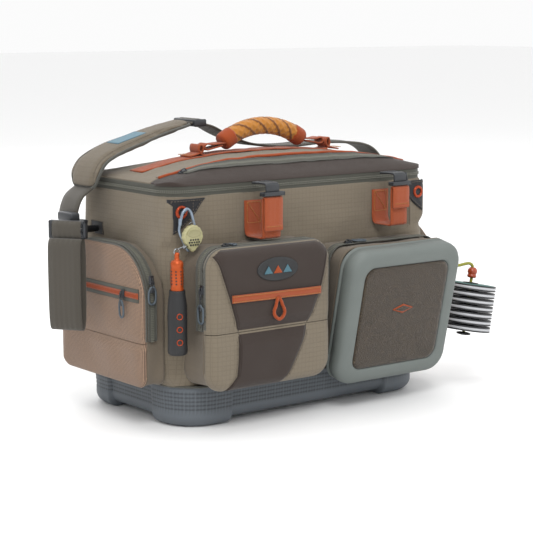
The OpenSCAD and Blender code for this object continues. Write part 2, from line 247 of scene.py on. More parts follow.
def plastic(name, colour, rough=0.45, grain=420.0, depth=0.00008, coat=0.0, metal=0.0):
    """Moulded plastic or plated metal: fine grain, faint scuffs and rubbed patches."""
    s = Shader(name, rough=rough, metal=metal, coat=coat)
    scuff = s.noise(38, 6)
    tone = s.mix(s.math("MULTIPLY", scuff, 0.35), colour, shade(colour, 0.7))
    gloss = s.math("MULTIPLY_ADD", scuff, 0.25, rough - 0.12)
    return s.finish(tone, s.noise(grain, 3), depth, 0.5, gloss)


def open_mesh(name, thread, shaded_inside, pitch=3.2):
    """Coated net over cloth: rows of small holes set in a hexagon pattern; the holes show the cloth inside, darkened
    by painted shade.
    """
    s = Shader(name, rough=0.62, sheen=0.1, specular=0.4)
    row = s.math("FLOOR", s.math("DIVIDE", s.v, pitch * 0.87))
    shift = s.math("MULTIPLY", s.math("MODULO", row, 2.0), pitch / 2)
    across = s.math("SUBTRACT", s.math("PINGPONG", s.math("ADD", s.u, shift), pitch / 2), pitch / 4)
    down = s.math("SUBTRACT", s.math("PINGPONG", s.v, pitch * 0.435), pitch * 0.2175)
    far = s.math("SQRT", s.math("ADD", s.math("MULTIPLY", across, across), s.math("MULTIPLY", down, down)))
    hole = s.math("LESS_THAN", far, pitch * 0.2)
    tone = s.mix(hole, thread, shaded_inside)
    tone = s.mix(s.math("MULTIPLY", s.noise(14, 4), 0.5), tone, shade(thread, 0.55))
    return s.finish(tone, s.math("SUBTRACT", 1.0, hole), 0.0006, 0.7)


def speckled(name, colour, light, dark):
    """Needled felt: short pale and dark fibres over a brown ground."""
    s = Shader(name, rough=0.95, sheen=0.35, specular=0.1)
    coarse, fine = s.noise(700, 4), s.noise(1500, 2)
    tone = s.mix(s.math("MULTIPLY_ADD", coarse, 3.0, -1.1), dark, colour)
    tone = s.mix(s.math("GREATER_THAN", fine, 0.62), tone, light)
    return s.finish(tone, s.math("ADD", coarse, fine), 0.0009, 0.9)


def dimpled(name, colour, shaded_pit):
    """Moulded base: the pits are in the mesh, and this paints shade into them, much darker than the plastic, and
    scuffs the rest.
    """
    s = Shader(name, rough=0.55, specular=0.45)
    tone = s.mix(s.attribute("shaded_pit"), colour, shaded_pit)
    tone = s.mix(s.math("MULTIPLY", s.noise(26, 6), 0.3), tone, shade(colour, 1.25))
    return s.finish(tone, s.noise(600, 3), 0.00008, 0.4)


def braid(name, colour, thread):
    """Braided cord: the strands are in the mesh, with darker tracer threads."""
    s = Shader(name, rough=0.75, sheen=0.3, specular=0.3)
    tone = s.mix(s.attribute("tracer"), colour, thread)
    tone = s.mix(s.math("MULTIPLY", s.noise(160, 4), 0.3), tone, shade(colour, 0.65))
    return s.finish(tone, s.noise(1400, 2), 0.0002, 0.8)


TAN = cloth("ripstop_tan", srgb(158, 145, 125), grid=5.2)
GUSSET = cloth("gusset_cloth", srgb(140, 127, 110), pitch=1.1, worn=0.35)
BROWN = cloth("brown_cloth", srgb(74, 62, 56), pitch=0.8, worn=0.12)
TAPE = cloth("zip_tape", srgb(104, 104, 95), pitch=1.4, rough=0.85)
BINDING = webbing("edge_binding", srgb(104, 104, 96))
LINING = cloth("lining_cloth", srgb(120, 114, 100), pitch=1.2)
COIL = plastic("zip_coil", srgb(136, 136, 124), rough=0.4)
ORANGE = webbing("orange_webbing", srgb(200, 92, 40))
ORANGE_TRIM = cloth("orange_piping", srgb(198, 88, 38), pitch=0.7)
STRAP = webbing("strap_webbing", srgb(98, 92, 82))
PAD = cloth("pad_cloth", srgb(146, 134, 116), grid=5.2)
# Second colour: the cloth inside the pocket, darkened by painted shade, seen through the holes.
MESH = open_mesh("salmon_mesh", srgb(214, 176, 146), srgb(96, 74, 60))
# Second colour: painted shade in the moulded pits.
BASE = dimpled("base_moulding", srgb(112, 119, 126), srgb(38, 42, 47))
EVA = plastic("tray_moulding", srgb(132, 140, 136), rough=0.62, grain=900, depth=0.00012)
FELT = speckled("speckled_felt", srgb(92, 76, 58), srgb(150, 134, 108), srgb(36, 29, 23))
FOAM = plastic("closed_cell_foam", srgb(206, 201, 186), rough=0.85, grain=1200, depth=0.0003)
BLACK = cloth("black_tab_cloth", srgb(44, 44, 48), pitch=1.0, rough=0.6)
HARD = plastic("dark_acetal", srgb(58, 61, 66), rough=0.42)
GROMMET = plastic("orange_anodised", srgb(205, 80, 40), rough=0.3, metal=0.6)
GUNMETAL = plastic("plated_slider", srgb(92, 94, 98), rough=0.34, metal=0.85)
PULL = plastic("pull_rubber", srgb(92, 104, 114), rough=0.5)
STEEL = plastic("bright_wire", srgb(190, 194, 198), rough=0.25, metal=1.0)
BLUE_METAL = plastic("blue_anodised", srgb(170, 186, 204), rough=0.3, metal=0.7)
LIME = plastic("retractor_shell", srgb(206, 200, 150), rough=0.4)
LIME_DARK = plastic("retractor_oval", srgb(190, 184, 138), rough=0.45)
TUBE = plastic("orange_tube", srgb(226, 98, 36), rough=0.32, metal=0.5)
# Dark rubber; also used as painted shade inside the retractor's holes and the thermometer's perforations.
RUBBER_AND_HOLE_SHADE = plastic("sheath_rubber", srgb(38, 38, 40), rough=0.6)
SILVER = plastic("spool_rim", srgb(44, 45, 48), rough=0.4)
LINE = plastic("spool_line", srgb(236, 238, 242), rough=0.35)
LABEL = plastic("plain_label", srgb(72, 128, 120), rough=0.5)
CORD = braid("lime_cord", srgb(176, 176, 60), srgb(110, 110, 40))
GRIP = braid("golden_braid", srgb(222, 146, 52), srgb(120, 66, 24))
TOGGLE = plastic("orange_toggle", srgb(206, 80, 36), rough=0.3, coat=0.3)
TEAL = plastic("plain_emblem", srgb(80, 130, 146), rough=0.5)
PATCH = plastic("badge_rubber", srgb(40, 42, 44), rough=0.5)
BLUE = cloth("pale_blue_patch", srgb(128, 168, 186), pitch=0.8)

# ---------------------------------------------------------------- mesh building


def smooth(t):
    t = np.clip(t, 0, 1)
    return t * t * (3 - 2 * t)


def project(vertices, faces):
    """Flat UVs in millimetres, each face seen along its main direction."""
    corners, out = vertices, []
    for face in faces:
        p = corners[list(face)]
        normal = np.cross(p[1] - p[0], p[2] - p[0])
        if len(face) > 3:
            normal = np.cross(p[2] - p[0], p[3] - p[1])
        axis = int(np.argmax(np.abs(normal)))
        keep = ((1, 2), (0, 2), (0, 1))[axis]
        out.extend(p[:, keep].tolist())
    return out


def piece(name, shape, material, body, nodes=(), slot=None, uv=None, flat=False,
          thick=0.0, lining=None, marks=None):
    """Makes one visible piece from (vertices, faces), in millimetres; marks is {attribute: value per vertex}."""
    vertices, faces = np.asarray(shape[0], float), shape[1]
    data = bpy.data.meshes.new(name)
    data.from_pydata((vertices * MM).tolist(), [], [tuple(f) for f in faces])
    layer = data.uv_layers.new(name="surface")
    values = uv if uv is not None else project(vertices, faces)
    layer.data.foreach_set("uv", np.asarray(values, np.float32).ravel())
    for key, value in (marks or {}).items():
        data.attributes.new(key, "FLOAT", "POINT").data.foreach_set("value", np.asarray(value, np.float32))
    data.materials.append(material)
    if lining:
        data.materials.append(lining)
    obj = bpy.data.objects.new(name, data)
    bpy.context.scene.collection.objects.link(obj)
    tidy = bmesh.new()
    tidy.from_mesh(data)
    bmesh.ops.recalc_face_normals(tidy, faces=tidy.faces)
    tidy.to_mesh(data)
    tidy.free()
    if not flat:
        data.polygons.foreach_set("use_smooth", [True] * len(data.polygons))
    if thick:
        shell = obj.modifiers.new("thickness", "SOLIDIFY")
        shell.thickness, shell.offset = thick * MM, 0
        if lining:
            shell.material_offset = 1
    if body:
        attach(obj, body)
    if nodes:
        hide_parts(*nodes)
    return obj


def grid_faces(rows, columns, wrap=False):
    faces = []
    last = columns if wrap else columns - 1
    for i in range(rows - 1):
        for j in range(last):
            k = (j + 1) % columns
            faces.append((i * columns + j, i * columns + k, (i + 1) * columns + k, (i + 1) * columns + j))
    return faces


def join(parts):
    """Joins (vertices, faces) pairs into one."""
    vertices, faces, start = [], [], 0
    for points, polygons in parts:
        points = np.asarray(points, float)
        vertices.append(points)
        faces.extend(tuple(i + start for i in f) for f in polygons)
        start += len(points)
    return np.concatenate(vertices), faces


def rounded_box(low, high, r=1.0, steps=2):
    """A box with rounded edges, as (vertices, faces)."""
    low, high = np.array(low, float), np.array(high, float)
    r = min(r, *((high - low) / 2.001))
    angles = [math.pi / 2 * k / steps for k in range(steps + 1)]
    levels = [(low[2] + r * (1 - math.cos(a)), r * (1 - math.sin(a))) for a in angles]
    levels += [(high[2] - r * (1 - math.cos(a)), r * (1 - math.sin(a))) for a in reversed(angles)]
    rings = []
    for z, inset in levels:
        ring = outline(low[0] + inset, high[0] - inset, low[1] + inset, high[1] - inset,
                       max(r - inset, 0.02), 3)
        rings.append(np.column_stack([ring, np.full(len(ring), z)]))
    return loft(rings, caps=True)


def outline(x0, x1, y0, y1, r, corner=8, spacing=None):
    """A rounded rectangle's points, anticlockwise from the right end of its lower side."""
    r = min(r, (x1 - x0) / 2 - 1e-3, (y1 - y0) / 2 - 1e-3)
    points = []
    centres = ((x1 - r, y0 + r, -90), (x1 - r, y1 - r, 0), (x0 + r, y1 - r, 90), (x0 + r, y0 + r, 180))
    for cx, cy, start in centres:
        for k in range(corner + 1):
            a = math.radians(start + 90 * k / corner)
            points.append((cx + r * math.cos(a), cy + r * math.sin(a)))
    points = np.array(points)
    return resample(points, spacing, closed=True) if spacing else points


def unit(rows):
    """Each row scaled to length 1."""
    return rows / np.linalg.norm(rows, axis=1)[:, None]


def distances(path):
    """How far along a polyline each of its points is."""
    return np.concatenate([[0], np.cumsum(np.linalg.norm(np.diff(path, axis=0), axis=1))])


def outward(spine):
    """Unit vectors that point out of a closed anticlockwise outline."""
    ahead = np.roll(spine, -1, 0) - np.roll(spine, 1, 0)
    return unit(np.column_stack([ahead[:, 1], -ahead[:, 0]]))


def quads(shape):
    """A turned ring without its end caps."""
    return shape[0], [f for f in shape[1] if len(f) == 4]


def resample(points, spacing, closed=False, count=None):
    """Even points along a polyline."""
    points = np.asarray(points, float)
    if closed:
        points = np.vstack([points, points[:1]])
    run = distances(points)
    count = count or max(3, int(round(run[-1] / spacing)) + (0 if closed else 1))
    at = np.linspace(0, run[-1], count, endpoint=not closed)
    return np.column_stack([np.interp(at, run, points[:, k]) for k in range(points.shape[1])])


def curve(points, spacing=3.0, closed=False):
    """A smooth curve through a few points, as even points along it."""
    points = np.asarray(points, float)
    n = len(points)
    out = []
    for i in range(n if closed else n - 1):
        take = [points[(i + k) % n] if closed else points[min(max(i + k, 0), n - 1)] for k in (-1, 0, 1, 2)]
        for t in np.linspace(0, 1, 12, endpoint=False):
            out.append(0.5 * (2 * take[1] + (take[2] - take[0]) * t
                              + (2 * take[0] - 5 * take[1] + 4 * take[2] - take[3]) * t * t
                              + (3 * take[1] - take[0] - 3 * take[2] + take[3]) * t ** 3))
    if not closed:
        out.append(points[-1])
    return resample(np.array(out), spacing, closed)


def loft(rings, caps=False, wrap=True):
    """Joins rings of equal length, as (vertices, faces)."""
    columns = len(rings[0])
    faces = grid_faces(len(rings), columns, wrap)
    if caps:
        faces.append(tuple(range(columns)))
        faces.append(tuple(range((len(rings) - 1) * columns, len(rings) * columns)))
    return np.concatenate(rings), faces


def frames(path, closed=False, up=(0, 0, 1)):
    """Tangent, side and normal at each point of a path."""
    path = np.asarray(path, float)
    if closed:
        tangent = unit(np.roll(path, -1, 0) - np.roll(path, 1, 0))
    else:
        tangent = unit(np.gradient(path, axis=0))
    normal = np.broadcast_to(np.array(up, float), path.shape).copy()
    side = np.cross(tangent, normal)
    weak = np.linalg.norm(side, axis=1) < 0.05
    side[weak] = np.cross(tangent[weak], (0.3, 1, 0.1))
    side /= np.linalg.norm(side, axis=1)[:, None]
    for i in range(1, len(path)):
        if side[i] @ side[i - 1] < 0:
            side[i] *= -1
    normal = np.cross(side, tangent)
    return tangent, side, normal


def tube(path, r, sides=10, closed=False, shape=None, up=(0, 0, 1)):
    """A round tube along a path. r may be a list; shape(angle, i) scales the radius."""
    path = np.asarray(path, float)
    _, side, normal = frames(path, closed, up)
    radii = np.broadcast_to(np.asarray(r, float), (len(path),))
    rings = []
    for i, centre in enumerate(path):
        a = np.arange(sides) * 2 * math.pi / sides
        scale = radii[i] * (shape(a, i) if shape else 1.0)
        rings.append(centre + np.outer(np.cos(a) * scale, side[i]) + np.outer(np.sin(a) * scale, normal[i]))
    if closed:
        rings.append(rings[0])
        return loft(rings)
    return loft(rings, caps=True)


def ribbon(path, width, thick=1.6, side=(0, 1, 0), edge=0.5):
    """A flat strap along a path; side is its width direction, one vector or one for each point.
    Returns vertices, faces and UVs that run along it."""
    path = np.asarray(path, float)
    side = np.broadcast_to(np.array(side, float), path.shape).copy()
    tangent = unit(np.gradient(path, axis=0))
    side -= tangent * (side * tangent).sum(1)[:, None]
    side /= np.linalg.norm(side, axis=1)[:, None]
    normal = np.cross(tangent, side)
    half, t = width / 2, thick / 2
    section = [(-half, -t + edge), (-half + edge, -t), (-half * 0.5, -t), (half * 0.5, -t), (half - edge, -t),
               (half, -t + edge), (half, t - edge), (half - edge, t), (half * 0.5, t), (-half * 0.5, t),
               (-half + edge, t), (-half, t - edge)]
    rings = [c + np.outer([p[0] for p in section], s) + np.outer([p[1] for p in section], n)
             for c, s, n in zip(path, side, normal)]
    vertices, faces = loft(rings, caps=True)
    run = distances(path)
    n = len(section)
    uv = []
    for face in faces:
        uv.extend((run[i // n], section[i % n][0]) for i in face)
    return vertices, faces, uv


def strap(name, path, width, material, body, thick=1.6, side=(0, 1, 0), **rest):
    vertices, faces, uv = ribbon(path, width, thick, side)
    return piece(name, (vertices, faces), material, body, uv=uv, **rest)


def lathe(profile, sides=48, place=(0, 0, 0), axis=(0, 0, 1)):
    """Turns (radius, height) points about an axis through place."""
    axis = Vector(axis).normalized()
    turn = np.array(axis.to_track_quat("Z", "Y").to_matrix())
    a = np.arange(sides) * 2 * math.pi / sides
    rings = []
    for r, h in profile:
        ring = np.column_stack([r * np.cos(a), r * np.sin(a), np.full(sides, h)])
        rings.append(ring @ turn.T + np.array(place))
    return loft(rings, caps=True)


def hollow(profile, *where):
    """A ring turned from a closed profile, open along its axis."""
    return quads(lathe(profile + profile[:1], *where))


def puff(obj, voxel=4.0, pressure=4.0, cap=4.0):
    """Inflates a closed padded piece by cloth pressure and keeps the result as plain mesh."""
    scene = bpy.context.scene
    work = bpy.data.objects.new("inflating", obj.data.copy())
    scene.collection.objects.link(work)
    even = work.modifiers.new("even", "REMESH")
    even.mode, even.voxel_size = "VOXEL", voxel * MM
    start_mesh = bpy.data.meshes.new_from_object(work.evaluated_get(bpy.context.evaluated_depsgraph_get()))
    work.modifiers.clear()
    work.data = start_mesh
    start = np.array([v.co for v in start_mesh.vertices])
    air = work.modifiers.new("air", "CLOTH")
    air.settings.quality, air.settings.mass = 6, 0.3
    air.settings.use_pressure, air.settings.uniform_pressure_force = True, pressure
    air.settings.effector_weights.gravity = 0
    air.point_cache.frame_start, air.point_cache.frame_end = 1, 20
    for moment in range(1, 21):
        scene.frame_set(moment)
    swollen = bpy.data.meshes.new_from_object(work.evaluated_get(bpy.context.evaluated_depsgraph_get()))
    move = np.array([v.co for v in swollen.vertices]) - start
    reach = np.linalg.norm(move, axis=1)[:, None]
    move *= np.minimum(1, cap * MM / np.maximum(reach, 1e-9))
    scene.frame_set(1)
    bpy.data.objects.remove(work)
    bpy.data.meshes.remove(swollen)
    swell = start + move
    start_mesh.vertices.foreach_set("co", swell.astype(np.float32).ravel())
    faces = [tuple(face.vertices) for face in start_mesh.polygons]
    layer = start_mesh.uv_layers.new(name="surface")
    layer.data.foreach_set("uv", np.asarray(project(swell / MM, faces), np.float32).ravel())
    start_mesh.materials.clear()
    for material in obj.data.materials:
        start_mesh.materials.append(material)
    start_mesh.polygons.foreach_set("use_smooth", [True] * len(faces))
    obj.data = start_mesh


def press(obj, line, width, depth):
    """Sinks a sewn channel into a padded piece along points in millimetres."""
    spots = np.array([v.co for v in obj.data.vertices]) / MM
    normals = np.array([v.normal for v in obj.data.vertices])
    away = np.sqrt(((spots[:, None, :] - line[None]) ** 2).sum(2)).min(1)
    sunk = spots - normals * (depth * smooth(1 - away / width))[:, None]
    obj.data.vertices.foreach_set("co", (sunk * MM).astype(np.float32).ravel())
    obj.data.update()


def stitches(path, lift, pitch=3.2, length=2.1, r=0.32):
    """A row of thread stitches along a path, lifted off the cloth by the vector lift."""
    path = resample(path, 0.7)
    parts, step = [], max(1, int(round(pitch / 0.7)))
    reach = max(1, int(round(length / 0.7)))
    for i in range(0, len(path) - reach, step):
        a, b = path[i] + lift, path[i + reach] + lift
        middle = (a + b) / 2 + np.array(lift) * 0.6
        parts.append(tube(np.array([a, middle, b]), r, sides=5))
    return join(parts)


def wrinkle(point, scale, seed=0.0):
    """Smooth noise from -1 to 1 at a point given in millimetres."""
    return noise.noise(Vector((point[0] / scale + seed, point[1] / scale, point[2] / scale)))


def teeth(path, normal, width=4.2, pitch=1.9, body_lift=0.6):
    """Zip coil: a row of rounded teeth along a path, on a surface whose normals are given."""
    path, normal = np.asarray(path, float), np.asarray(normal, float)
    run = distances(path)
    at = np.arange(pitch / 2, run[-1], pitch)
    parts = []
    for s in at:
        c = np.array([np.interp(s, run, path[:, k]) for k in range(3)])
        n = np.array([np.interp(s, run, normal[:, k]) for k in range(3)])
        n /= np.linalg.norm(n)
        ahead = np.array([np.interp(min(s + 0.5, run[-1]), run, path[:, k]) for k in range(3)]) - c
        if np.linalg.norm(ahead) < 1e-6:
            continue
        ahead /= np.linalg.norm(ahead)
        across = np.cross(n, ahead)
        c = c + n * body_lift
        corners = []
        for h, w in ((0, 1.0), (0.75, 0.8)):
            for da, dw in ((-0.36, -0.5), (0.36, -0.5), (0.36, 0.5), (-0.36, 0.5)):
                corners.append(c + n * h + ahead * da * pitch * w + across * dw * width * w)
        parts.append((corners, [(3, 2, 1, 0), (4, 5, 6, 7), (0, 1, 5, 4), (1, 2, 6, 5), (2, 3, 7, 6), (3, 0, 4, 7)]))
    return join(parts)


def zip_run(name, path, normal, body, tape=11.0):
    """A zip: cloth tape with a coil down its middle, lying on a surface."""
    path, normal = np.asarray(path, float), np.asarray(normal, float)
    tangent = unit(np.gradient(path, axis=0))
    side = np.cross(tangent, normal)
    lifted = path + normal * 0.5
    strap(name + "_tape", lifted, tape, TAPE, body, 0.9, side, slot="tape_grey")
    for sign, mark in ((1, "a"), (-1, "b")):
        edge = lifted + side * sign * (tape / 2 - 0.4) + normal * 0.3
        piece(name + "_edge_" + mark, tube(edge, 0.75, 6), BINDING, body, slot="tape_grey")
    piece(name + "_coil", teeth(path, normal), COIL, body, flat=True, slot="tape_grey")


# ---------------------------------------------------------------- moulded base

TUB_LOW, TUB_HIGH = node_box("molded_base")
ROD_X = (-75.0, 112.0)
FOOT_X, FOOT_Y = 112.0, 44.0


def make_base():
    """One tub: dimpled outer wall with rolled lower edge and four corner feet, rim, inner wall and floor."""
    spine = outline(-178, 178, -103, 103, 45, 24, spacing=1.5)
    out = outward(spine)
    foot = smooth((np.abs(spine[:, 0]) - FOOT_X) / 2.5 + 0.5) * smooth((np.abs(spine[:, 1]) - FOOT_Y) / 2.5 + 0.5)
    run = np.arange(len(spine)) * 1.5
    rings, pit_shade_mask = [], []

    def ring(inset, z, depth=None):
        offset = -np.broadcast_to(inset, (len(spine),))
        depth = np.zeros(len(spine)) if depth is None else depth
        points = spine + out * (offset - depth * 0.9)[:, None]
        rings.append(np.column_stack([points, np.broadcast_to(z, (len(spine),))]))
        pit_shade_mask.append(depth)

    floor_z = 5.0 * (1 - foot)
    for inset in (95, 60, 34):
        ring(inset, 0.4)
    ring(28, floor_z * 0.5 + 0.2)
    for k in range(9):
        a = math.pi / 2 * k / 8
        ring(14 * (1 - math.sin(a)) + 1.5 - 3.5 * foot, floor_z + 13 * (1 - math.cos(a)))
    for z in np.arange(19.5, 41.5, 1.5):
        row = int(round((z - 19.5) / 1.5))
        shift = 2.4 * ((row // 3) % 2)
        across = np.abs((run + shift) % 4.8 - 2.4) - 1.2
        down = abs((row % 3) - 1)
        shaded_pit = smooth(1.4 - np.hypot(across * 0.85, down * 0.95))
        ring(1.5 - 3.5 * foot - 1.2 * smooth((z - 19) / 22), z, shaded_pit * 0.95)
    ring(-1.2 - 1.2 * foot, 43)
    ring(-2.2, 45)
    ring(-1.6, 46.6)
    ring(1, 47)
    ring(12.0, 47)
    ring(14.5, 45.5)
    ring(14.5, 12)
    ring(18, 9.2)
    for inset in (50, 95):
        ring(inset, 9)
    # The pit depths also mask the shade painted into the pits.
    piece("base_tub", loft(rings, caps=True), BASE, "bag", nodes=["molded_base"], slot="base_plastic",
          marks={"shaded_pit": np.concatenate(pit_shade_mask)})
    edge = outline(-181.5, 181.5, -106.5, 106.5, 48, 24, spacing=4)
    loop = np.column_stack([edge, np.full(len(edge), 46.8)])
    piece("base_rim_welt", tube(loop, 1.3, 8, closed=True), BINDING, "bag", slot="base_plastic")


# ---------------------------------------------------------------- bag walls and dividers


def held_flat(p, n, z, offset):
    """The wall's swell at a point, held flat where tabs are sewn on its upper front."""
    near = max(smooth(1 - (abs(p[0] - x) - 13) / 12) for x in ROD_X)
    near = max(near, smooth((abs(p[0]) - 126) / 12)) * smooth((z - 192) / 12)
    if n[1] > -0.5:
        near = 0.0
    corner = 7.0 * smooth(1.6 - 4.2 * abs(abs(n[0]) - 0.6)) * smooth((z - 196) / 18) * smooth((258 - z) / 12)
    corner = min(corner, max(0.0, (p[1] + 92.2) / max(-n[1], 0.2)))
    return offset * (1 - near) - 0.4 * near + (corner if n[1] < -0.2 else 0.0)


def make_walls():
    """The fabric tube between the base rim and the zip: sagging, slightly crumpled, lined."""
    spine = outline(-BAG_X, BAG_X, -BAG_Y, BAG_Y, CORNER, 12, spacing=3.5)
    out = outward(spine)
    rings = []
    for z in np.linspace(WALL_LOW, WALL_HIGH, 62):
        t = (z - WALL_LOW) / 210
        swell = 1.6 * math.sin(math.pi * t) + 0.4
        ring = []
        for p, n in zip(spine, out):
            crease = 3.4 * wrinkle((p[0] + 0.5 * z, p[1], z * 1.5), 58) + 1.1 * wrinkle((p[0], p[1], z), 17, 3)
            crease *= min(1, 5 * t, 5 * (1 - t))
            tuck = 8 * smooth(np.array((60 - z) / 14.0)) * abs(n[0])
            ring.append((*(p + n * held_flat(p, n, z, swell + crease - tuck)), z))
        rings.append(np.array(ring))
    piece("bag_wall_cloth", loft(rings), TAN, "bag", thick=2.2, lining=LINING, nodes=["body_front_panel",
          "body_back_panel", "body_end_panels"], slot="ripstop_tan")
    for sx in (-1, 1):
        for sy in (-1, 1):
            x, y = sx * (BAG_X - CORNER), sy * 93.6
            seam = np.array([(x, y, z) for z in np.linspace(52, 254, 60)])
            vertices, faces = tube(seam, 0.9, 6)
            tag = ("left", "right")[sx > 0] + ("_front", "_back")[sy > 0]
            piece("wall_seam_" + tag, (vertices, faces), GUSSET, "bag", slot="ripstop_tan")
            lift = np.array((0, sy * 0.9, 0))
            piece("wall_stitch_" + tag, stitches(seam + np.array((sx * -3.2, 0, 0)), lift), GUSSET, "bag",
                  slot="ripstop_tan")


def quilt(name, low, high, axis, nodes, body="bag"):
    """A padded divider: crowned faces, sewn binding all round and two quilt lines."""
    low, high = np.array(low, float), np.array(high, float)
    flat_axes = [k for k in range(3) if k != axis]
    (u0, v0), (u1, v1) = low[flat_axes], high[flat_axes]
    middle, half = (low[axis] + high[axis]) / 2, (high[axis] - low[axis]) / 2
    rings = []
    steps = ((0.0, 0.25), (1.5, 0.62), (5, 0.85), (14, 0.95), (24, 1.0), (26, 0.72), (28, 1.0), (38, 0.98))
    for sign in (1, -1):
        for inset, fat in (steps[::-1] if sign > 0 else steps):
            ring = outline(u0 + inset, u1 - inset, v0 + inset, v1 - inset, max(10 - inset, 1), 6)
            points = np.zeros((len(ring), 3))
            points[:, flat_axes] = ring
            points[:, axis] = middle + sign * fat * half
            rings.append(points)
    pad = piece(name, loft(rings, caps=True), LINING, body, nodes=nodes, slot="lining")
    ring = outline(u0 + 1, u1 - 1, v0 + 1, v1 - 1, 9, 8, spacing=4)
    points = np.zeros((len(ring), 3))
    points[:, flat_axes] = ring
    points[:, axis] = middle
    piece(name + "_binding", tube(points, half * 0.62, 8, closed=True, up=np.eye(3)[axis]), BINDING, body,
          slot="lining")


def make_dividers():
    for x, side in ((-60, "left"), (60, "right")):
        quilt("divider_" + side, (x - 3.5, -88, 10), (x + 3.5, 88, 180), 0, ["dividers_cross"])
    quilt("divider_middle", (-56, 6, 10), (56, 12, 180), 1, ["divider_long"])


# ---------------------------------------------------------------- lid

LID_X, LID_Y, LID_R = 188.0, 94.0, 27.0
PIPING_Y = -60.0
CROWN, SAG = 293.0, 23.0


def lid_height(x, y):
    """Height of the lid's skin, a little slack between its seams."""
    arc = CROWN - SAG * (x / LID_X) ** 2
    slope = np.interp(y, (-94, -60, 0, 35, 94), (268, 290, 293, 283, 264))
    k = 2.5
    soft = -k * math.log(math.exp(-arc / k) + math.exp(-slope / k)) + 0.6
    edge = min(LID_X - abs(x), LID_Y - abs(y))
    dent = 1.0 * wrinkle((x, y * 1.5, 0), 34, 7) + 0.5 * wrinkle((x, y, 0), 13, 2)
    return soft + dent * min(1, edge / 20) - 1.2 * smooth(np.array(1 - edge / 6))


def lid_half_width(x):
    """How far the lid reaches to front and back at x, round its corners."""
    past = abs(x) - (LID_X - LID_R)
    return LID_Y if past <= 0 else LID_Y - LID_R + math.sqrt(max(LID_R ** 2 - past ** 2, 0))


def lid_columns():
    inner = np.linspace(-(LID_X - LID_R), LID_X - LID_R, 84)
    turn = np.array([LID_X - LID_R + LID_R * math.sin(math.pi / 2 * k / 8) for k in range(1, 9)])
    return np.concatenate([-turn[::-1], inner, turn])


def lid_sheet(name, front, back, material, node, slot):
    """Part of the lid's skin between two lines, turned down at its outer edge."""
    columns = []
    for x in lid_columns():
        reach = lid_half_width(x) - 0.3
        y0, y1 = max(front, -reach), min(back, reach)
        points = []
        if front < -LID_Y:
            points.append((x, y0, 267.5))
        points += [(x, y, lid_height(x, y)) for y in np.linspace(y0, y1, 16 if back < 0 else 48)]
        if back > LID_Y:
            points.append((x, y1, 263.5))
        columns.append(points)
    vertices = np.array(columns).reshape(-1, 3)
    faces = grid_faces(len(columns), len(columns[0]))
    piece(name, (vertices, faces), material, "lid", thick=1.8, lining=LINING, nodes=[node], slot=slot)


def band_ring(spine, profile):
    """Lofts a ring by an (outset, height) profile."""
    out = outward(spine)
    rings = [np.column_stack([spine + out * o, np.full(len(spine), z)]) for o, z in profile]
    return loft(rings + rings[:1])


def make_zip_bands():
    """Ribbed zip tape on bag and lid, with the coil along the split."""
    spine = outline(-BAG_X, BAG_X, -BAG_Y, BAG_Y, CORNER, 14, spacing=4)
    for name, body, node, low, high in (("bag", "bag", "body_zip_tape", 255.5, 261.7),
                                        ("lid", "lid", "lid_zip_tape", 262.3, 268.6)):
        span = high - low
        profile = [(-2.5, low), (0.4, low), (1.2, low + 0.2 * span), (0.5, low + 0.36 * span),
                   (1.2, low + 0.5 * span), (0.5, low + 0.66 * span), (1.0, low + 0.8 * span), (0.7, high), (-2.5,
                                                                                                             high)]
        piece(name + "_zip_tape", band_ring(spine, profile), TAPE, body, nodes=[node], slot="tape_grey")
        coil_z = 261.0 if body == "bag" else 262.75
        line = outline(-188.2, 188.2, -94.2, 94.2, 28, 14, spacing=4)
        order = sorted(range(len(line)), key=lambda i: (i - 45) % len(line))
        path = [line[i] for i in order if line[i][1] < 88]
        path = np.array([(p[0], p[1], coil_z) for p in path])
        jump = int(np.argmax(np.linalg.norm(np.diff(path, axis=0), axis=1)))
        if np.linalg.norm(path[jump + 1] - path[jump]) > 20:
            path = np.vstack([path[jump + 1:], path[:jump + 1]])
        tangent = np.gradient(path, axis=0)
        normal = np.column_stack([tangent[:, 1], -tangent[:, 0], np.zeros(len(path))])
        normal /= np.linalg.norm(normal, axis=1)[:, None]
        piece(name + "_zip_coil", teeth(path, normal, width=1.5, pitch=2.4, body_lift=0.1), COIL, body,
              flat=True, slot="tape_grey")


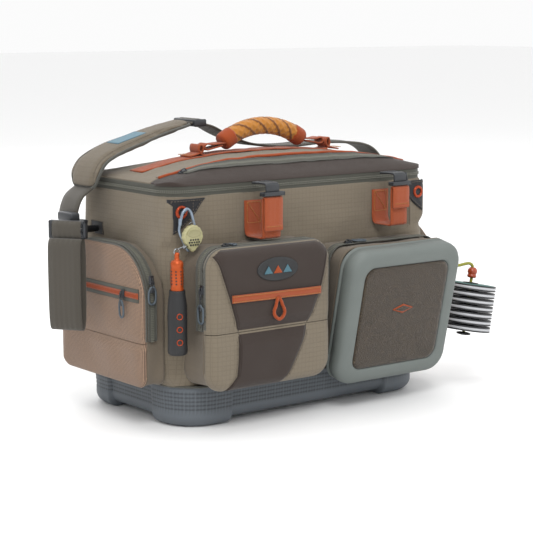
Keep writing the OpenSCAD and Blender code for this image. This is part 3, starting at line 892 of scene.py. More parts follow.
def make_lid():
    lid_sheet("lid_top_cloth", PIPING_Y, 200, TAN, "lid_shell", "ripstop_tan")
    lid_sheet("lid_front_cloth", -200, PIPING_Y, BROWN, "lid_front_band", "cloth_brown")
    line = np.array([(x, PIPING_Y, lid_height(x, PIPING_Y) + 1.4) for x in np.linspace(-178, 178, 120)])
    piece("lid_piping", tube(line, 1.9, 8), ORANGE_TRIM, "lid", slot="web_orange")
    piece("lid_piping_stitch", stitches(line + np.array((0, 5.0, -0.4)), np.array((0, 0, 0.6))), GUSSET,
          "lid", slot="ripstop_tan")
    path = np.array([(x, PIPING_Y - 8.5, lid_height(x, PIPING_Y - 8.5) + 1.0) for x in np.linspace(-152, 150, 100)])
    slope = [np.array((0, -(lid_height(p[0], p[1] + 2) - lid_height(p[0], p[1] - 2)) / 4, 1)) for p in path]
    normal = np.array([n / np.linalg.norm(n) for n in slope])
    zip_run("lid_pocket_zip", path, normal, "lid", tape=12)
    low, high = node_box("lid_lining")
    rings = []
    for inset, z in ((0, low[2]), (0.6, high[2]), (18, high[2]), (20, high[2] - 0.7), (22, high[2]), (80,
                                                                                                      high[2] + 1),
                     (80, low[2] + 1), (22, low[2]), (20, low[2] + 0.7), (18, low[2])):
        ring = outline(low[0] + inset, high[0] - inset, low[1] + inset, high[1] - inset, max(25 - inset, 6), 8)
        rings.append(np.column_stack([ring, np.full(len(ring), z)]))
    top, under = rings[1:6], rings[6:]
    piece("lid_inner_lining", loft([top[-1], *top[::-1][1:], rings[0], *under[::-1][0:4]], caps=True), LINING,
          "lid", nodes=["lid_lining"], slot="lining")
    web = np.array([(x, 0, lid_height(x, 0) + 1.6) for x in np.linspace(-168, 122, 100)])
    strap("lid_web", web, 25, ORANGE, "lid", 1.6, nodes=["lid_webbing"], slot="web_orange")
    for sign in (-1, 1):
        x = 9 + sign * 94
        z = lid_height(x, 0) + 2
        loop = curve([(x - sign * 14, 0, z + 0.6), (x - sign * 2, 0, z + 1.5), (x + sign * 2.5, 0, z + 7),
                      (x + sign * 1.0, 0, 303), (x - sign * 3, 0, 300), (x - sign * 2, 0, z + 5),
                      (x + sign * 6, 0, z + 2.4), (x + sign * 16, 0, z + 0.2)], 1.5)
        strap("handle_anchor_" + ("right" if sign > 0 else "left"), loop, 20, ORANGE, "lid", 1.5, slot="web_orange")
        box = [(x + sign * (9 + dx), dy, z + 1.7) for dx, dy in ((0, -8), (12, -8), (12, 8), (0, 8), (12, -8))]
        piece("handle_anchor_stitch_" + ("right" if sign > 0 else "left"), stitches(np.array(box),
              np.array((0, 0, 0.4)), 2.4, 1.6), GRIP, "lid", slot="web_orange")


# ---------------------------------------------------------------- carry handle

GRIP_X, GRIP_R, GRIP_TOP = 9.0, 104.0, 321.0


def make_handle():
    """Braided rope grip on a shallow arch, with dark whipped ends and folded webbing ears."""
    arch = np.radians(np.linspace(-33, 33, 150))
    path = np.column_stack([GRIP_X + GRIP_R * np.sin(arch), np.zeros(150), GRIP_TOP - GRIP_R + GRIP_R * np.cos(arch)])
    sides = 56

    def strands(a, i):
        along = i * 0.82
        one = np.maximum(np.cos(6 * a + along * 0.62), np.cos(6 * a - along * 0.62))
        return 0.93 + 0.085 * np.sqrt(np.clip(one, 0, 1))

    vertices, faces = tube(path, 10.2, sides, shape=strands, up=(0, 1, 0))
    tracer = []
    for i in range(150):
        a = np.arange(sides) * 2 * math.pi / sides
        tracer.append((np.cos(3 * a + i * 0.82 * 0.31) > 0.82).astype(float))
    piece("handle_braid", (vertices, faces), GRIP, "handle", nodes=["handle_grip"], slot="grip_braid",
          marks={"tracer": np.concatenate(tracer)})
    for sign in (-1, 1):
        side = "right" if sign > 0 else "left"
        ends = np.radians(np.linspace(25, 34, 10)) * sign
        sleeve = np.column_stack([GRIP_X + GRIP_R * np.sin(ends), np.zeros(10),
                                  GRIP_TOP - GRIP_R + GRIP_R * np.cos(ends)])
        piece("handle_sleeve_" + side, tube(sleeve, [9.9, 10.9, 11.0, 10.9, 11.0, 10.9, 11.0, 10.9, 10.6,
              9.6], 24, up=(0, 1, 0)), ORANGE_TRIM, "handle", slot="web_orange")
        ear = curve([(GRIP_X + sign * 56, 0, 303.5), (GRIP_X + sign * 66, 0, 303), (GRIP_X + sign * 76, 0, 302.4),
                     (GRIP_X + sign * 84, 0, 303.4), (GRIP_X + sign * 87.5, 0, 300), (GRIP_X + sign * 84, 0, 296.7),
                     (GRIP_X + sign * 76, 0, 298), (GRIP_X + sign * 62, 0, 300.5)], 1.5)
        nodes = ["handle_loops"] if sign > 0 else ()
        strap("handle_ear_" + side, ear, 16, ORANGE, "handle", 1.6, nodes=nodes, slot="web_orange")


make_base()
make_walls()
make_dividers()
make_zip_bands()
make_lid()
make_handle()

# ---------------------------------------------------------------- zipped front pocket

FP_X0, FP_X1, FP_Z0, FP_Z1, FP_R = -170.0, -3.0, 48.0, 203.0, 22.0
FP_FRONT, FP_PART, FP_BACK = -145.0, -132.4, -93.4
FP_HINGE = 112.0


def inside_rounded(x, z, x0, x1, z0, z1, r):
    """Distance from a point to a rounded rectangle's edge, positive inside."""
    qx = abs(x - (x0 + x1) / 2) - (x1 - x0) / 2 + r
    qz = abs(z - (z0 + z1) / 2) - (z1 - z0) / 2 + r
    return r - math.hypot(max(qx, 0), max(qz, 0)) - min(max(qx, qz), 0)


def pocket_face(x, z, lift=0.0):
    """Front skin of the pocket: soft rounded edge, slight crown and creases."""
    d = inside_rounded(x, z, FP_X0, FP_X1, FP_Z0, FP_Z1, FP_R)
    dome = math.sqrt(max(0.0, 1 - (1 - min(max(d, 0) / 11, 1)) ** 2))
    crown = 2.2 * smooth(np.array(d / 60)) + 1.3 * wrinkle((x, z, 0), 34, 5) * min(1, max(d, 0) / 12)
    loose = 0.04 + 0.96 * smooth(abs(z - FP_HINGE) / 15)
    return FP_PART + (FP_FRONT - FP_PART) * dome - (crown + lift) * loose + 1.1 * (1 - loose)


def ease(a, b, n):
    """Values from a to b, closer together at both ends."""
    return [(a + b) / 2 - (b - a) / 2 * math.cos(math.pi * k / (n - 1)) for k in range(n)]


def rounded_reach(x, low, high, x0, x1, r):
    """The z limits at x of a rounded rectangle."""
    past = max(x0 + r - x, x - (x1 - r), 0)
    cut = r - math.sqrt(max(r * r - past * past, 0))
    return low + cut, high - cut


def pocket_sheet(name, z_low, z_high, body, node):
    """Tan front skin between two heights."""
    columns = []
    for x in ease(FP_X0 + 0.05, FP_X1 - 0.05, 64):
        low, high = rounded_reach(x, FP_Z0, FP_Z1, FP_X0, FP_X1, FP_R)
        low, high = max(low, z_low), min(high, z_high)
        columns.append([(x, pocket_face(x, z), z) for z in ease(low, high, 44)])
    vertices = np.array(columns).reshape(-1, 3)
    piece(name, (vertices, grid_faces(64, 44)), TAN, body, thick=1.4, lining=LINING, nodes=[node], slot="ripstop_tan")


LEFT_SEAM = [(48, -150), (64, -136), (109, -134), (149, -146), (195, -163)]
RIGHT_SEAM = [(48, -75), (64, -62), (104, -42), (147, -22), (195, -9)]


def seam_x(seam, z):
    return float(np.interp(z, [p[0] for p in seam], [p[1] for p in seam]))


def pocket_overlay(name, z_low, z_high, body, material, lift, slot, inset=0.0):
    """A cloth panel laid between the two seams on the pocket's front."""
    rows = []
    for z in np.linspace(z_low, z_high, 40):
        a, b = seam_x(LEFT_SEAM, z) + inset, seam_x(RIGHT_SEAM, z) - inset
        row = []
        for t in np.linspace(0, 1, 40):
            x = a + (b - a) * t
            low, high = rounded_reach(x, FP_Z0, FP_Z1, FP_X0, FP_X1, FP_R)
            zc = min(max(z, low + 0.3), high - 0.3)
            row.append((x, pocket_face(x, zc, lift), zc))
        rows.append(row)
    vertices = np.array(rows).reshape(-1, 3)
    piece(name, (vertices, grid_faces(40, 40)), material, body, thick=0.9, slot=slot)


def oval(cx, cz, rx, rz, n=48):
    a = np.arange(n) * 2 * math.pi / n
    return np.column_stack([cx + rx * np.cos(a), cz + rz * np.sin(a)])


def plaque(name, rings, face, material, body, slot):
    """A low solid on a face: rings of (outline, lift) from its foot to its middle."""
    loops = [np.array([(x, face(x, z, lift), z) for x, z in ring]) for ring, lift in rings]
    return piece(name, loft(loops, caps=True), material, body, slot=slot)


def make_front_pocket():
    pocket_sheet("front_flap_cloth", FP_HINGE + 0.4, 400, "front_flap", "front_flap_panel")
    pocket_sheet("front_lower_cloth", 0, FP_HINGE - 0.4, "bag", "front_pocket_lower_panel")
    pocket_overlay("front_flap_centre", FP_HINGE + 0.5, 202, "front_flap", BROWN, 1.1, "cloth_brown")
    pocket_overlay("front_lower_centre", 49, FP_HINGE - 0.5, "bag", BROWN, 1.1, "cloth_brown")
    pocket_overlay("front_slip_pocket", FP_HINGE + 0.5, 147, "front_flap", BROWN, 2.3, "cloth_brown", 2)
    pocket_overlay("front_slip_lower", 49, FP_HINGE - 0.5, "bag", BROWN, 2.3, "cloth_brown", 2)
    for tag, seam, sign in (("left", LEFT_SEAM, 1), ("right", RIGHT_SEAM, -1)):
        for part, low, high, body in (("flap", FP_HINGE + 1, 197, "front_flap"), ("lower", 55, FP_HINGE - 1, "bag")):
            line = np.array([(seam_x(seam, z) + sign * 1.5, pocket_face(seam_x(seam, z), z, 1.9), z)
                             for z in np.linspace(low, high, 40)])
            piece(f"front_seam_{tag}_{part}", tube(line, 0.8, 6, up=(0, 1, 0)), BROWN, body,
                  slot="cloth_brown")
            piece(f"front_stitch_{tag}_{part}", stitches(line + np.array((-sign * 3.6, 0.9, 0)), np.array((0,
                  -0.5, 0))), GUSSET, body, slot="ripstop_tan")
    band = np.array([(x, pocket_face(x, 149, 3.6), 149 - 0.01 * (x + 84)) for x in np.linspace(-145, -23, 60)])
    strap("front_pocket_band", band, 8.5, ORANGE, "front_flap", 1.6, (0, 0, 1), nodes=["front_flap_band"],
          slot="web_orange")
    for dz in (-3, 3):
        piece("front_band_stitch_" + ("upper" if dz > 0 else "lower"), stitches(band + np.array((0, -0.9,
              dz)), np.array((0, -0.3, 0)), 3, 2), GRIP, "front_flap", slot="web_orange")
    loop = curve([(-84.8, -151.5, 147), (-88, -152.5, 139), (-91.2, -153, 129), (-84, -153.4, 122.5),
                  (-76.8, -153, 129), (-80, -152.5, 139), (-83.2, -151.5, 147)], 1.2)
    piece("front_band_loop", tube(loop, 1.9, 10, up=(0, 1, 0), shape=lambda a,
          i: 1 + 0.07 * np.cos(3 * a + i * 0.9)), ORANGE_TRIM, "front_flap", slot="web_orange")
    badge = [(oval(-82.5, 177, 28, 13), 0.8), (oval(-82.5, 177, 28, 13), 2.4), (oval(-82.5, 177, 27, 12), 3.0),
             (oval(-82.5, 177, 25, 10.2), 3.0), (oval(-82.5, 177, 24.4, 9.6), 2.4), (oval(-82.5, 177, 8, 3), 2.6)]
    plaque("pocket_badge", badge, pocket_face, PATCH, "front_flap", "tab_black")
    for k, dx in enumerate((-13, 0, 13)):
        peak = np.array([(-82.5 + dx - 6, 172.5), (-82.5 + dx + 6, 172.5), (-82.5 + dx, 181)])
        tri = resample(peak, 1.5, closed=True)
        small = (tri - tri.mean(0)) * 0.8 + tri.mean(0)
        plaque(f"pocket_badge_peak_{k}", [(tri, 2.3), (tri, 3.0), (small, 3.3)], pocket_face,
               TEAL if k != 1 else ORANGE_TRIM, "front_flap", "web_orange")
    edge = [(x, FP_PART - 2.0, z) for x, z in outline(FP_X0 + 0.8, FP_X1 - 0.8, FP_Z0 + 0.8, FP_Z1 - 0.8, FP_R, 14, 3)
            if z > FP_HINGE + 1.5]
    split = max(range(1, len(edge)), key=lambda i: math.dist(edge[i], edge[i - 1]))
    piece("front_flap_edge", tube(np.array(edge[split:] + edge[:split]), 2.0, 10, up=(0, 1, 0)), BINDING,
          "front_flap", slot="tape_grey")
    make_gusset("front_gusset", FP_X0, FP_X1, FP_Z0, FP_Z1, FP_R, lambda t: FP_BACK + (FP_PART - FP_BACK) * t,
                "front_pocket_gusset", "front", FP_HINGE)


def make_gusset(name, x0, x1, z0, z1, r, depth, node, tag, hinge):
    """The soft side wall of a pocket, with piping and a zip round its front edge down to the hinge."""
    ring = outline(x0 + 0.6, x1 - 0.6, z0 + 0.6, z1 - 0.6, r, 14, spacing=4)
    middle = np.array([(x0 + x1) / 2, (z0 + z1) / 2])
    rings = []
    for t in np.linspace(0, 1, 12):
        points = []
        for x, z in ring:
            out = np.array([x, z]) - middle
            out /= np.linalg.norm(out)
            pull = -2.6 * math.sin(math.pi * t) + 1.4 * wrinkle((x, z, t * 30), 22, 4) * math.sin(math.pi * t)
            pull = min(pull, 0.4)
            points.append((x + out[0] * pull, depth(t), z + out[1] * pull))
        rings.append(np.array(points))
    piece(name + "_cloth", loft(rings), GUSSET, "bag", thick=1.4, lining=LINING, nodes=[node],
          slot="gusset_tan")
    start = [i for i in range(len(ring)) if ring[i][0] > middle[0] and ring[i][1] >= hinge]
    first = start[0]
    order = [(first + i) % len(ring) for i in range(len(ring))]
    path, normal = [], []
    for i in order:
        x, z = ring[i]
        if z < hinge - 1 and len(path) > 4:
            break
        if z < hinge - 1:
            continue
        nxt, prev = ring[(i + 1) % len(ring)], ring[i - 1]
        ahead = (nxt - prev) / np.linalg.norm(nxt - prev)
        normal.append((ahead[1], 0, -ahead[0]))
        path.append((x, depth(1.0) + 7.5, z))
    path, normal = np.array(path), np.array(normal)
    zip_run(tag + "_zip", path + normal * 0.8, normal, "bag", tape=11)
    welt = path + np.array((0, -7.0, 0)) + normal * 0.6
    piece(tag + "_zip_welt", tube(welt, 1.1, 8), BINDING, "bag", slot="tape_grey")


# ---------------------------------------------------------------- fold-down bench pocket

TRAY_PIVOT = np.array((91.0, -112.0, 36.0))
TRAY_W, TRAY_H, TRAY_LEAN = 166.0, 160.0, math.radians(12)


def tray_place(points):
    """Moves points from the tray's own frame, hinged at its lower edge, to the leaning rest place."""
    points = np.asarray(points, float)
    c, s = math.cos(TRAY_LEAN), math.sin(TRAY_LEAN)
    return np.column_stack([points[:, 0], points[:, 1] * c - points[:, 2] * s,
                            points[:, 1] * s + points[:, 2] * c]) + TRAY_PIVOT


def tray_loop(inset, y, corner=24.0, n=10):
    ring = outline(-TRAY_W / 2 + inset, TRAY_W / 2 - inset, inset, TRAY_H - inset, max(corner - inset * 0.55, 3), n)
    return np.column_stack([ring[:, 0], np.full(len(ring), y), ring[:, 1]])


def tray_back(z):
    """Y of the shell's back rim at a height, where the gusset cloth meets it."""
    return -117.4 - 0.2113 * (z - 48)


def make_bench():
    """Moulded shell with rolled edges and a recessed felt board, a foam block inside, and its soft gusset."""
    profile = [(4.5, -4.5), (1, -4.2), (0, -5.5), (0, -8), (1.4, -8.8), (1.4, -10), (0, -10.8), (0, -20),
               (0.8, -24.5), (3, -27.8), (6.4, -29.6), (10, -30), (15.5, -30), (18, -29.2), (18.6, -27.5),
               (18.8, -25.8), (40, -25.7), (70, -25.7)]
    inner = [(70, -23.5), (10, -23.5), (5, -21), (4.4, -17), (4.4, -6)]
    rings = [tray_place(tray_loop(i, y)) for i, y in profile + inner]
    piece("bench_tray", loft(rings + rings[:1]), EVA, "bench", nodes=["bench_shell"], slot="tray_plastic")
    rings = []
    for inset, y in ((19.2, -26), (19.2, -28.0), (20.2, -28.9), (24, -29.0), (45, -29.3), (68, -29.4)):
        rings.append(tray_place(tray_loop(inset, y)))
    piece("bench_felt_board", loft(rings, caps=True), FELT, "bench", nodes=["bench_felt"], slot="felt")
    rings = []
    for inset, y in ((12.5, -23.2), (12.5, -19.5), (13.5, -18.4), (24, -18.4), (25, -20.5), (60, -20.5), (61, -18.6),
                     (72, -18.6)):
        rings.append(tray_place(tray_loop(inset, y)))
    pad = piece("bench_foam_pad", loft(rings, caps=True), FOAM, "bench", nodes=["bench_foam"], slot="foam")
    for k, (rx, rz, y0, y1, material) in enumerate(((16, 5.5, -29.0, -30.0, ORANGE_TRIM), (13, 3.8, -29.8, -30.3,
                                                                                           FELT))):
        shape = [(0, rz), (rx, 0), (0, -rz), (-rx, 0)]
        ring = resample(np.array(shape), 2, closed=True)
        loops = [tray_place(np.column_stack([ring[:, 0] * f, np.full(len(ring), y), ring[:, 1] * f + 88]))
                 for f, y in ((1, y0), (1, y1), (0.85, y1 - 0.2))]
        piece(f"bench_emblem_{k}", loft(loops, caps=True), material, "bench", slot="web_orange")
    x0, x1, z0, z1 = TRAY_PIVOT[0] - 80, TRAY_PIVOT[0] + 80, 48.0, 190.0
    ring = outline(x0, x1, z0, z1, 18, 12, spacing=4)
    rings = []
    for t in np.linspace(0, 1, 10):
        points = []
        for x, z in ring:
            front = tray_back(z)
            sag = -2.2 * math.sin(math.pi * t) * (1 + 0.6 * wrinkle((x, z, t * 20), 20, 9))
            out = np.array([x - 91, z - 119]) / np.hypot(x - 91, z - 119)
            points.append((x + out[0] * sag, FP_BACK + (front - FP_BACK) * t, z + out[1] * sag))
        rings.append(np.array(points))
    piece("bench_gusset_cloth", loft(rings), GUSSET, "bag", thick=1.4, lining=LINING, nodes=["bench_gusset"],
          slot="gusset_tan")
    path, normal = [], []
    for i in range(len(ring)):
        x, z = ring[i]
        if z < 66:
            continue
        ahead = ring[(i + 1) % len(ring)] - ring[i - 1]
        ahead /= np.linalg.norm(ahead)
        path.append((x, -115 - 0.045 * (z - 66), z))
        normal.append((ahead[1], 0, -ahead[0]))
    path, normal = np.array(path), np.array(normal)
    zip_run("bench_zip", path + normal * 0.6, normal, "bag", tape=11)
    rim = np.array([(x, tray_back(z) + 1.4, z) for x, _, z in path])
    piece("bench_zip_welt", tube(rim + normal * 0.2, 1.3, 8), GUSSET, "bag", slot="tape_grey")


# ---------------------------------------------------------------- end pockets

EP_Y0, EP_Y1, EP_Z0, EP_Z1, EP_R, EP_HINGE = -82.0, 90.0, 49.0, 200.0, 58.0, 98.0
EP_ROOT, EP_DEPTH, EP_ZIP_X = 187.6, 22.6, 203.5    # gusset's root, gusset's depth, zip along the arch
# The right flap is shorter, so that it clears the spools. The cheek closes the rest of the face.
RIGHT_FLAP_Y0 = -52.0
CROSS_ZIP_Z = 150.5


def end_ring():
    """The arch outline of an end pocket in (y, z): small bottom corners, large top ones."""
    points = []
    for cx, cz, r, start in ((EP_Y1 - 14, EP_Z0 + 14, 14, -90), (EP_Y1 - EP_R, EP_Z1 - EP_R, EP_R, 0),
                             (EP_Y0 + EP_R, EP_Z1 - EP_R, EP_R, 90), (EP_Y0 + 14, EP_Z0 + 14, 14, 180)):
        for k in range(13):
            a = math.radians(start + 90 * k / 12)
            points.append((cx + r * math.cos(a), cz + r * math.sin(a)))
    return resample(points, 4.0, closed=True)


def end_reach(y):
    """The z limits of the end pocket's outline at y."""
    low, _ = rounded_reach(y, EP_Z0, EP_Z1, EP_Y0, EP_Y1, 14)
    _, high = rounded_reach(y, EP_Z0, EP_Z1, EP_Y0, EP_Y1, EP_R)
    return low, high


def end_face(side, y, z, lift=0.0):
    low, high = end_reach(y)
    d = min(z - low, high - z, y - EP_Y0, EP_Y1 - y)
    dome = math.sqrt(max(0.0, 1 - (1 - min(max(d, 0) / 16, 1)) ** 2))
    loose = smooth(abs(z - EP_HINGE) / 14) * smooth((abs(z - CROSS_ZIP_Z) - 7) / 12)
    crown = 2.4 * wrinkle((y, z, 0), 36, 6 + side) * min(1, max(d, 0) / 12) * loose
    fold = 1.6 * (1 - smooth(abs(z - EP_HINGE) / 10))
    return side * (210.5 + 5.5 * dome + crown - fold + lift)


def end_sheet(name, side, y0, y1, z_low, z_high, body, nodes):
    columns = []
    for y in ease(y0 + 0.05, y1 - 0.05, 44):
        low, high = end_reach(y)
        low, high = max(low, z_low), min(high, z_high)
        columns.append([(end_face(side, y, z), y, z) for z in ease(low, max(high, low + 0.2), 36)])
    vertices = np.array(columns).reshape(-1, 3)
    piece(name, (vertices, grid_faces(44, 36)), MESH, body, thick=1.2, lining=LINING, nodes=nodes,
          slot="mesh_salmon")


def make_end_pockets():
    for side, tag, y0 in ((-1, "left", EP_Y0), (1, "right", RIGHT_FLAP_Y0)):
        end_sheet(tag + "_end_flap", side, y0, EP_Y1, EP_HINGE + 0.4, 400, tag + "_flap", [tag + "_flap_mesh"])
        if side > 0:
            end_sheet(tag + "_end_cheek", side, EP_Y0, y0 - 0.5, EP_HINGE - 0.4, 400, "bag", ())
        nodes = ["end_pocket_lower_meshes"] if side < 0 else ()
        end_sheet(tag + "_end_lower", side, EP_Y0, EP_Y1, 0, EP_HINGE - 0.4, "bag", nodes)
        ring = end_ring()
        rings = []
        for t in np.linspace(0, 1, 10):
            points = []
            for y, z in ring:
                out = np.array([y - 4, z - 120]) / max(1, np.hypot(y - 4, z - 120))
                sag = -2.5 * math.sin(math.pi * t) * (1 + 0.7 * wrinkle((y, z, t * 20), 18, 11 + side))
                points.append((side * (EP_ROOT + EP_DEPTH * t), y + out[0] * sag, z + out[1] * sag))
            rings.append(np.array(points))
        vertices, faces = loft(rings)
        nodes = ["end_pocket_gussets"] if side < 0 else ()
        piece(tag + "_end_gusset", (vertices, faces), GUSSET, "bag", thick=1.4, lining=LINING, nodes=nodes,
              slot="gusset_tan")
        path, normal = [], []
        for i, (y, z) in enumerate(ring):
            if z < EP_HINGE or (side > 0 and y < -50):
                continue
            ahead = ring[(i + 1) % len(ring)] - ring[i - 1]
            ahead /= np.linalg.norm(ahead)
            path.append((side * EP_ZIP_X, y, z))
            normal.append((0, ahead[1], -ahead[0]))
        path, normal = np.array(path), np.array(normal)
        zip_run(tag + "_arch_zip", path + normal * 0.7, normal, "bag", tape=11)
        welt = path + np.array((side * 7.2, 0, 0)) + normal * 0.3
        piece(tag + "_arch_welt", tube(welt, 1.1, 8), BINDING, "bag", slot="tape_grey")
        line = np.array([(end_face(side, y, CROSS_ZIP_Z, 1.0), y, CROSS_ZIP_Z)
                         for y in np.linspace(y0 + 6, EP_Y1 - 6, 60)])
        out = np.broadcast_to(np.array((side, 0, 0), float), line.shape)
        strap(tag + "_mesh_zip_tape", line, 15, TAPE, tag + "_flap", 0.9, (0, 0, 1), nodes=[tag + "_flap_zip"],
              slot="tape_grey")
        strap(tag + "_mesh_zip_orange", line + out * 0.7, 6.5, ORANGE, tag + "_flap", 0.9, (0, 0, 1),
              slot="web_orange")
        piece(tag + "_mesh_zip_coil", teeth(line + out * 0.8, out, width=3.4), ORANGE_TRIM, tag + "_flap",
              flat=True, slot="web_orange")


# ---------------------------------------------------------------- cloth over the hinges


def hinge_cloth(name, corners, across, material, slot):
    """A strip of cloth over a fold: corners are its four corner points; it bows out along the vector across, most at
    its middle.
    """
    a, b, c, d = (np.array(corner, float) for corner in corners)
    back = across / np.linalg.norm(across) * -0.8
    rings = []
    for t in np.linspace(0, 1, 14):
        low, high = a + (d - a) * t, b + (c - b) * t
        bow = across * math.sin(math.pi * t)
        front = [low + (high - low) * u + bow for u in np.linspace(0, 1, 40)]
        rings.append(np.array(front + [point + back for point in front[::-1]]))
    strip = piece(name, loft(rings, caps=True), material, None, slot=slot)
    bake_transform(strip)


def make_hinge_cloths():
    hinge_cloth("lid_hinge_cloth", [(-158, 95.4, 253), (158, 95.4, 253), (158, 95.4, 271), (-158, 95.4, 271)],
                np.array((0, 1.0, 0)), TAPE, "tape_grey")
    hinge_cloth("front_fold_cloth", [(-158, -142.4, 104), (-15, -142.4, 104), (-15, -142.4, 120), (-158, -142.4,
                                                                                                   120)],
                np.array((0, 0.4, 0)), GUSSET, "gusset_tan")
    for side, tag, y0 in ((-1, "left", -66), (1, "right", -46)):
        x = side * 213.2
        hinge_cloth(tag + "_fold_cloth", [(x, y0, 91), (x, 74, 91), (x, 74, 105), (x, y0, 105)],
                    np.array((-side * 0.4, 0, 0)), GUSSET, "gusset_tan")


# ---------------------------------------------------------------- hardware on the bag


def turned(parts, turn, place):
    """Turns (vertices, faces) by a 3x3 matrix, then moves it."""
    vertices, faces = parts
    return np.asarray(vertices) @ np.asarray(turn, float).T + np.array(place, float), faces


def make_rings():
    """Cloth tabs on the end walls, each holding a wire D ring."""
    for side, tag in ((-1, "left"), (1, "right")):
        tabs = []
        for x0, x1, inset in ((BAG_X, 188.6, 0), (188.6, 190, 2.5)):
            low = (min(side * x0, side * x1), 33 + inset, 201 + inset)
            high = (max(side * x0, side * x1), 63 - inset, 221 - inset)
            tabs.append(rounded_box(low, high, 0.6))
        piece(f"ring_tab_{tag}", join(tabs), BLACK, "bag", nodes=["ring_tabs"] if side < 0 else (),
              slot="tab_black")
        edge = outline(35.5, 60.5, 203.5, 218.5, 2, 3)
        loop = np.array([(side * 190, y, z) for y, z in np.vstack([edge, edge[:1]])])
        piece(f"ring_tab_stitch_{tag}", stitches(loop, np.array((side * 0.3, 0, 0)), 3, 2), GUSSET, "bag",
              slot="tab_black")
        stem = [(3.4, 190), (3.4, 193), (4.0, 194), (4.0, 213), (5.2, 214.5), (6.5, 216), (6.5, 217.6), (5.4, 218)]
        piece(f"d_ring_post_{tag}", lathe(stem, 32, (0, 48, 210), (side, 0, 0)), GUNMETAL, "bag",
              nodes=["d_rings"] if side < 0 else (), slot="hardware_dark")


def wrapped(x):
    """How far a corner tab's outer edge folds back round the corner of the bag."""
    return 0.16 * max(0.0, x - 178) ** 2


def make_corner_tabs():
    for side, tag in ((-1, "left"), (1, "right")):
        shape = resample(np.array([(185, 254), (140, 254), (145, 249.5), (152, 240), (161, 230.5), (173, 221.5),
                                   (185, 214)]), 2.5, closed=True)
        centre = np.array([171.0, 240.0])
        loops = []
        for shrink, y in ((0, -93.3), (0, -94.2), (0.5, -94.9), (3.2, -95.0), (3.8, -94.7), (9, -94.8)):
            away = shape - centre
            ring = shape - away / np.linalg.norm(away, axis=1)[:, None] * shrink
            loops.append(np.array([(side * x, y + wrapped(x), z) for x, z in ring]))
        piece(f"corner_tab_{tag}_cloth", loft(loops, caps=True), BLACK, "bag",
              nodes=["corner_tabs"] if side < 0 else (), slot="tab_black")
        inner = centre + (np.vstack([shape, shape[:1]]) - centre) * 0.86
        rim = np.array([(side * x, -94.9 + wrapped(x), z) for x, z in inner])
        piece(f"corner_tab_{tag}_stitch", stitches(rim, np.array((0, -0.3, 0)), 3.4, 2.2), GUSSET, "bag",
              slot="tab_black")
        ring = [(4.1, 0), (4.0, 1.6), (4.4, 2.6), (5.4, 3.1), (6.6, 2.7), (7.4, 1.9), (7.5, 0.6), (6.6, 0.1)]
        piece(f"grommet_{tag}", hollow(ring, 40, (side * 172, -93.4, 240), (0, -1, 0)),
              GROMMET, "bag", nodes=["tab_grommets"] if side < 0 else (), slot="grommet_orange")


# ---------------------------------------------------------------- shoulder strap

PAD_PATH = [(-206, 48, 258), (-203, 48, 274), (-192, 48, 288), (-168, 48, 299), (-140, 48, 307), (-112, 48, 315),
            (-85, 48, 321), (-70, 48, 323.6)]
WEB_LEFT = [(-226, 48, 222), (-227, 48, 232), (-220, 48, 248), (-206, 48, 258)]
WEB_RIGHT = [(-51, 48, 323), (-38, 48, 319), (-20, 48, 310), (0, 48, 302), (21, 48, 296), (50, 48, 292.2),
             (83, 48, 291.2), (127, 48, 293), (160, 48, 292), (195, 48, 288), (215, 48, 278), (226, 48, 262),
             (228, 48, 240), (226, 48, 222)]


def pad_half(t):
    """Half the pad's width, from its wide left end to its narrow right end."""
    return 29.5 - 8.0 * float(smooth((t - 0.35) / 0.6))


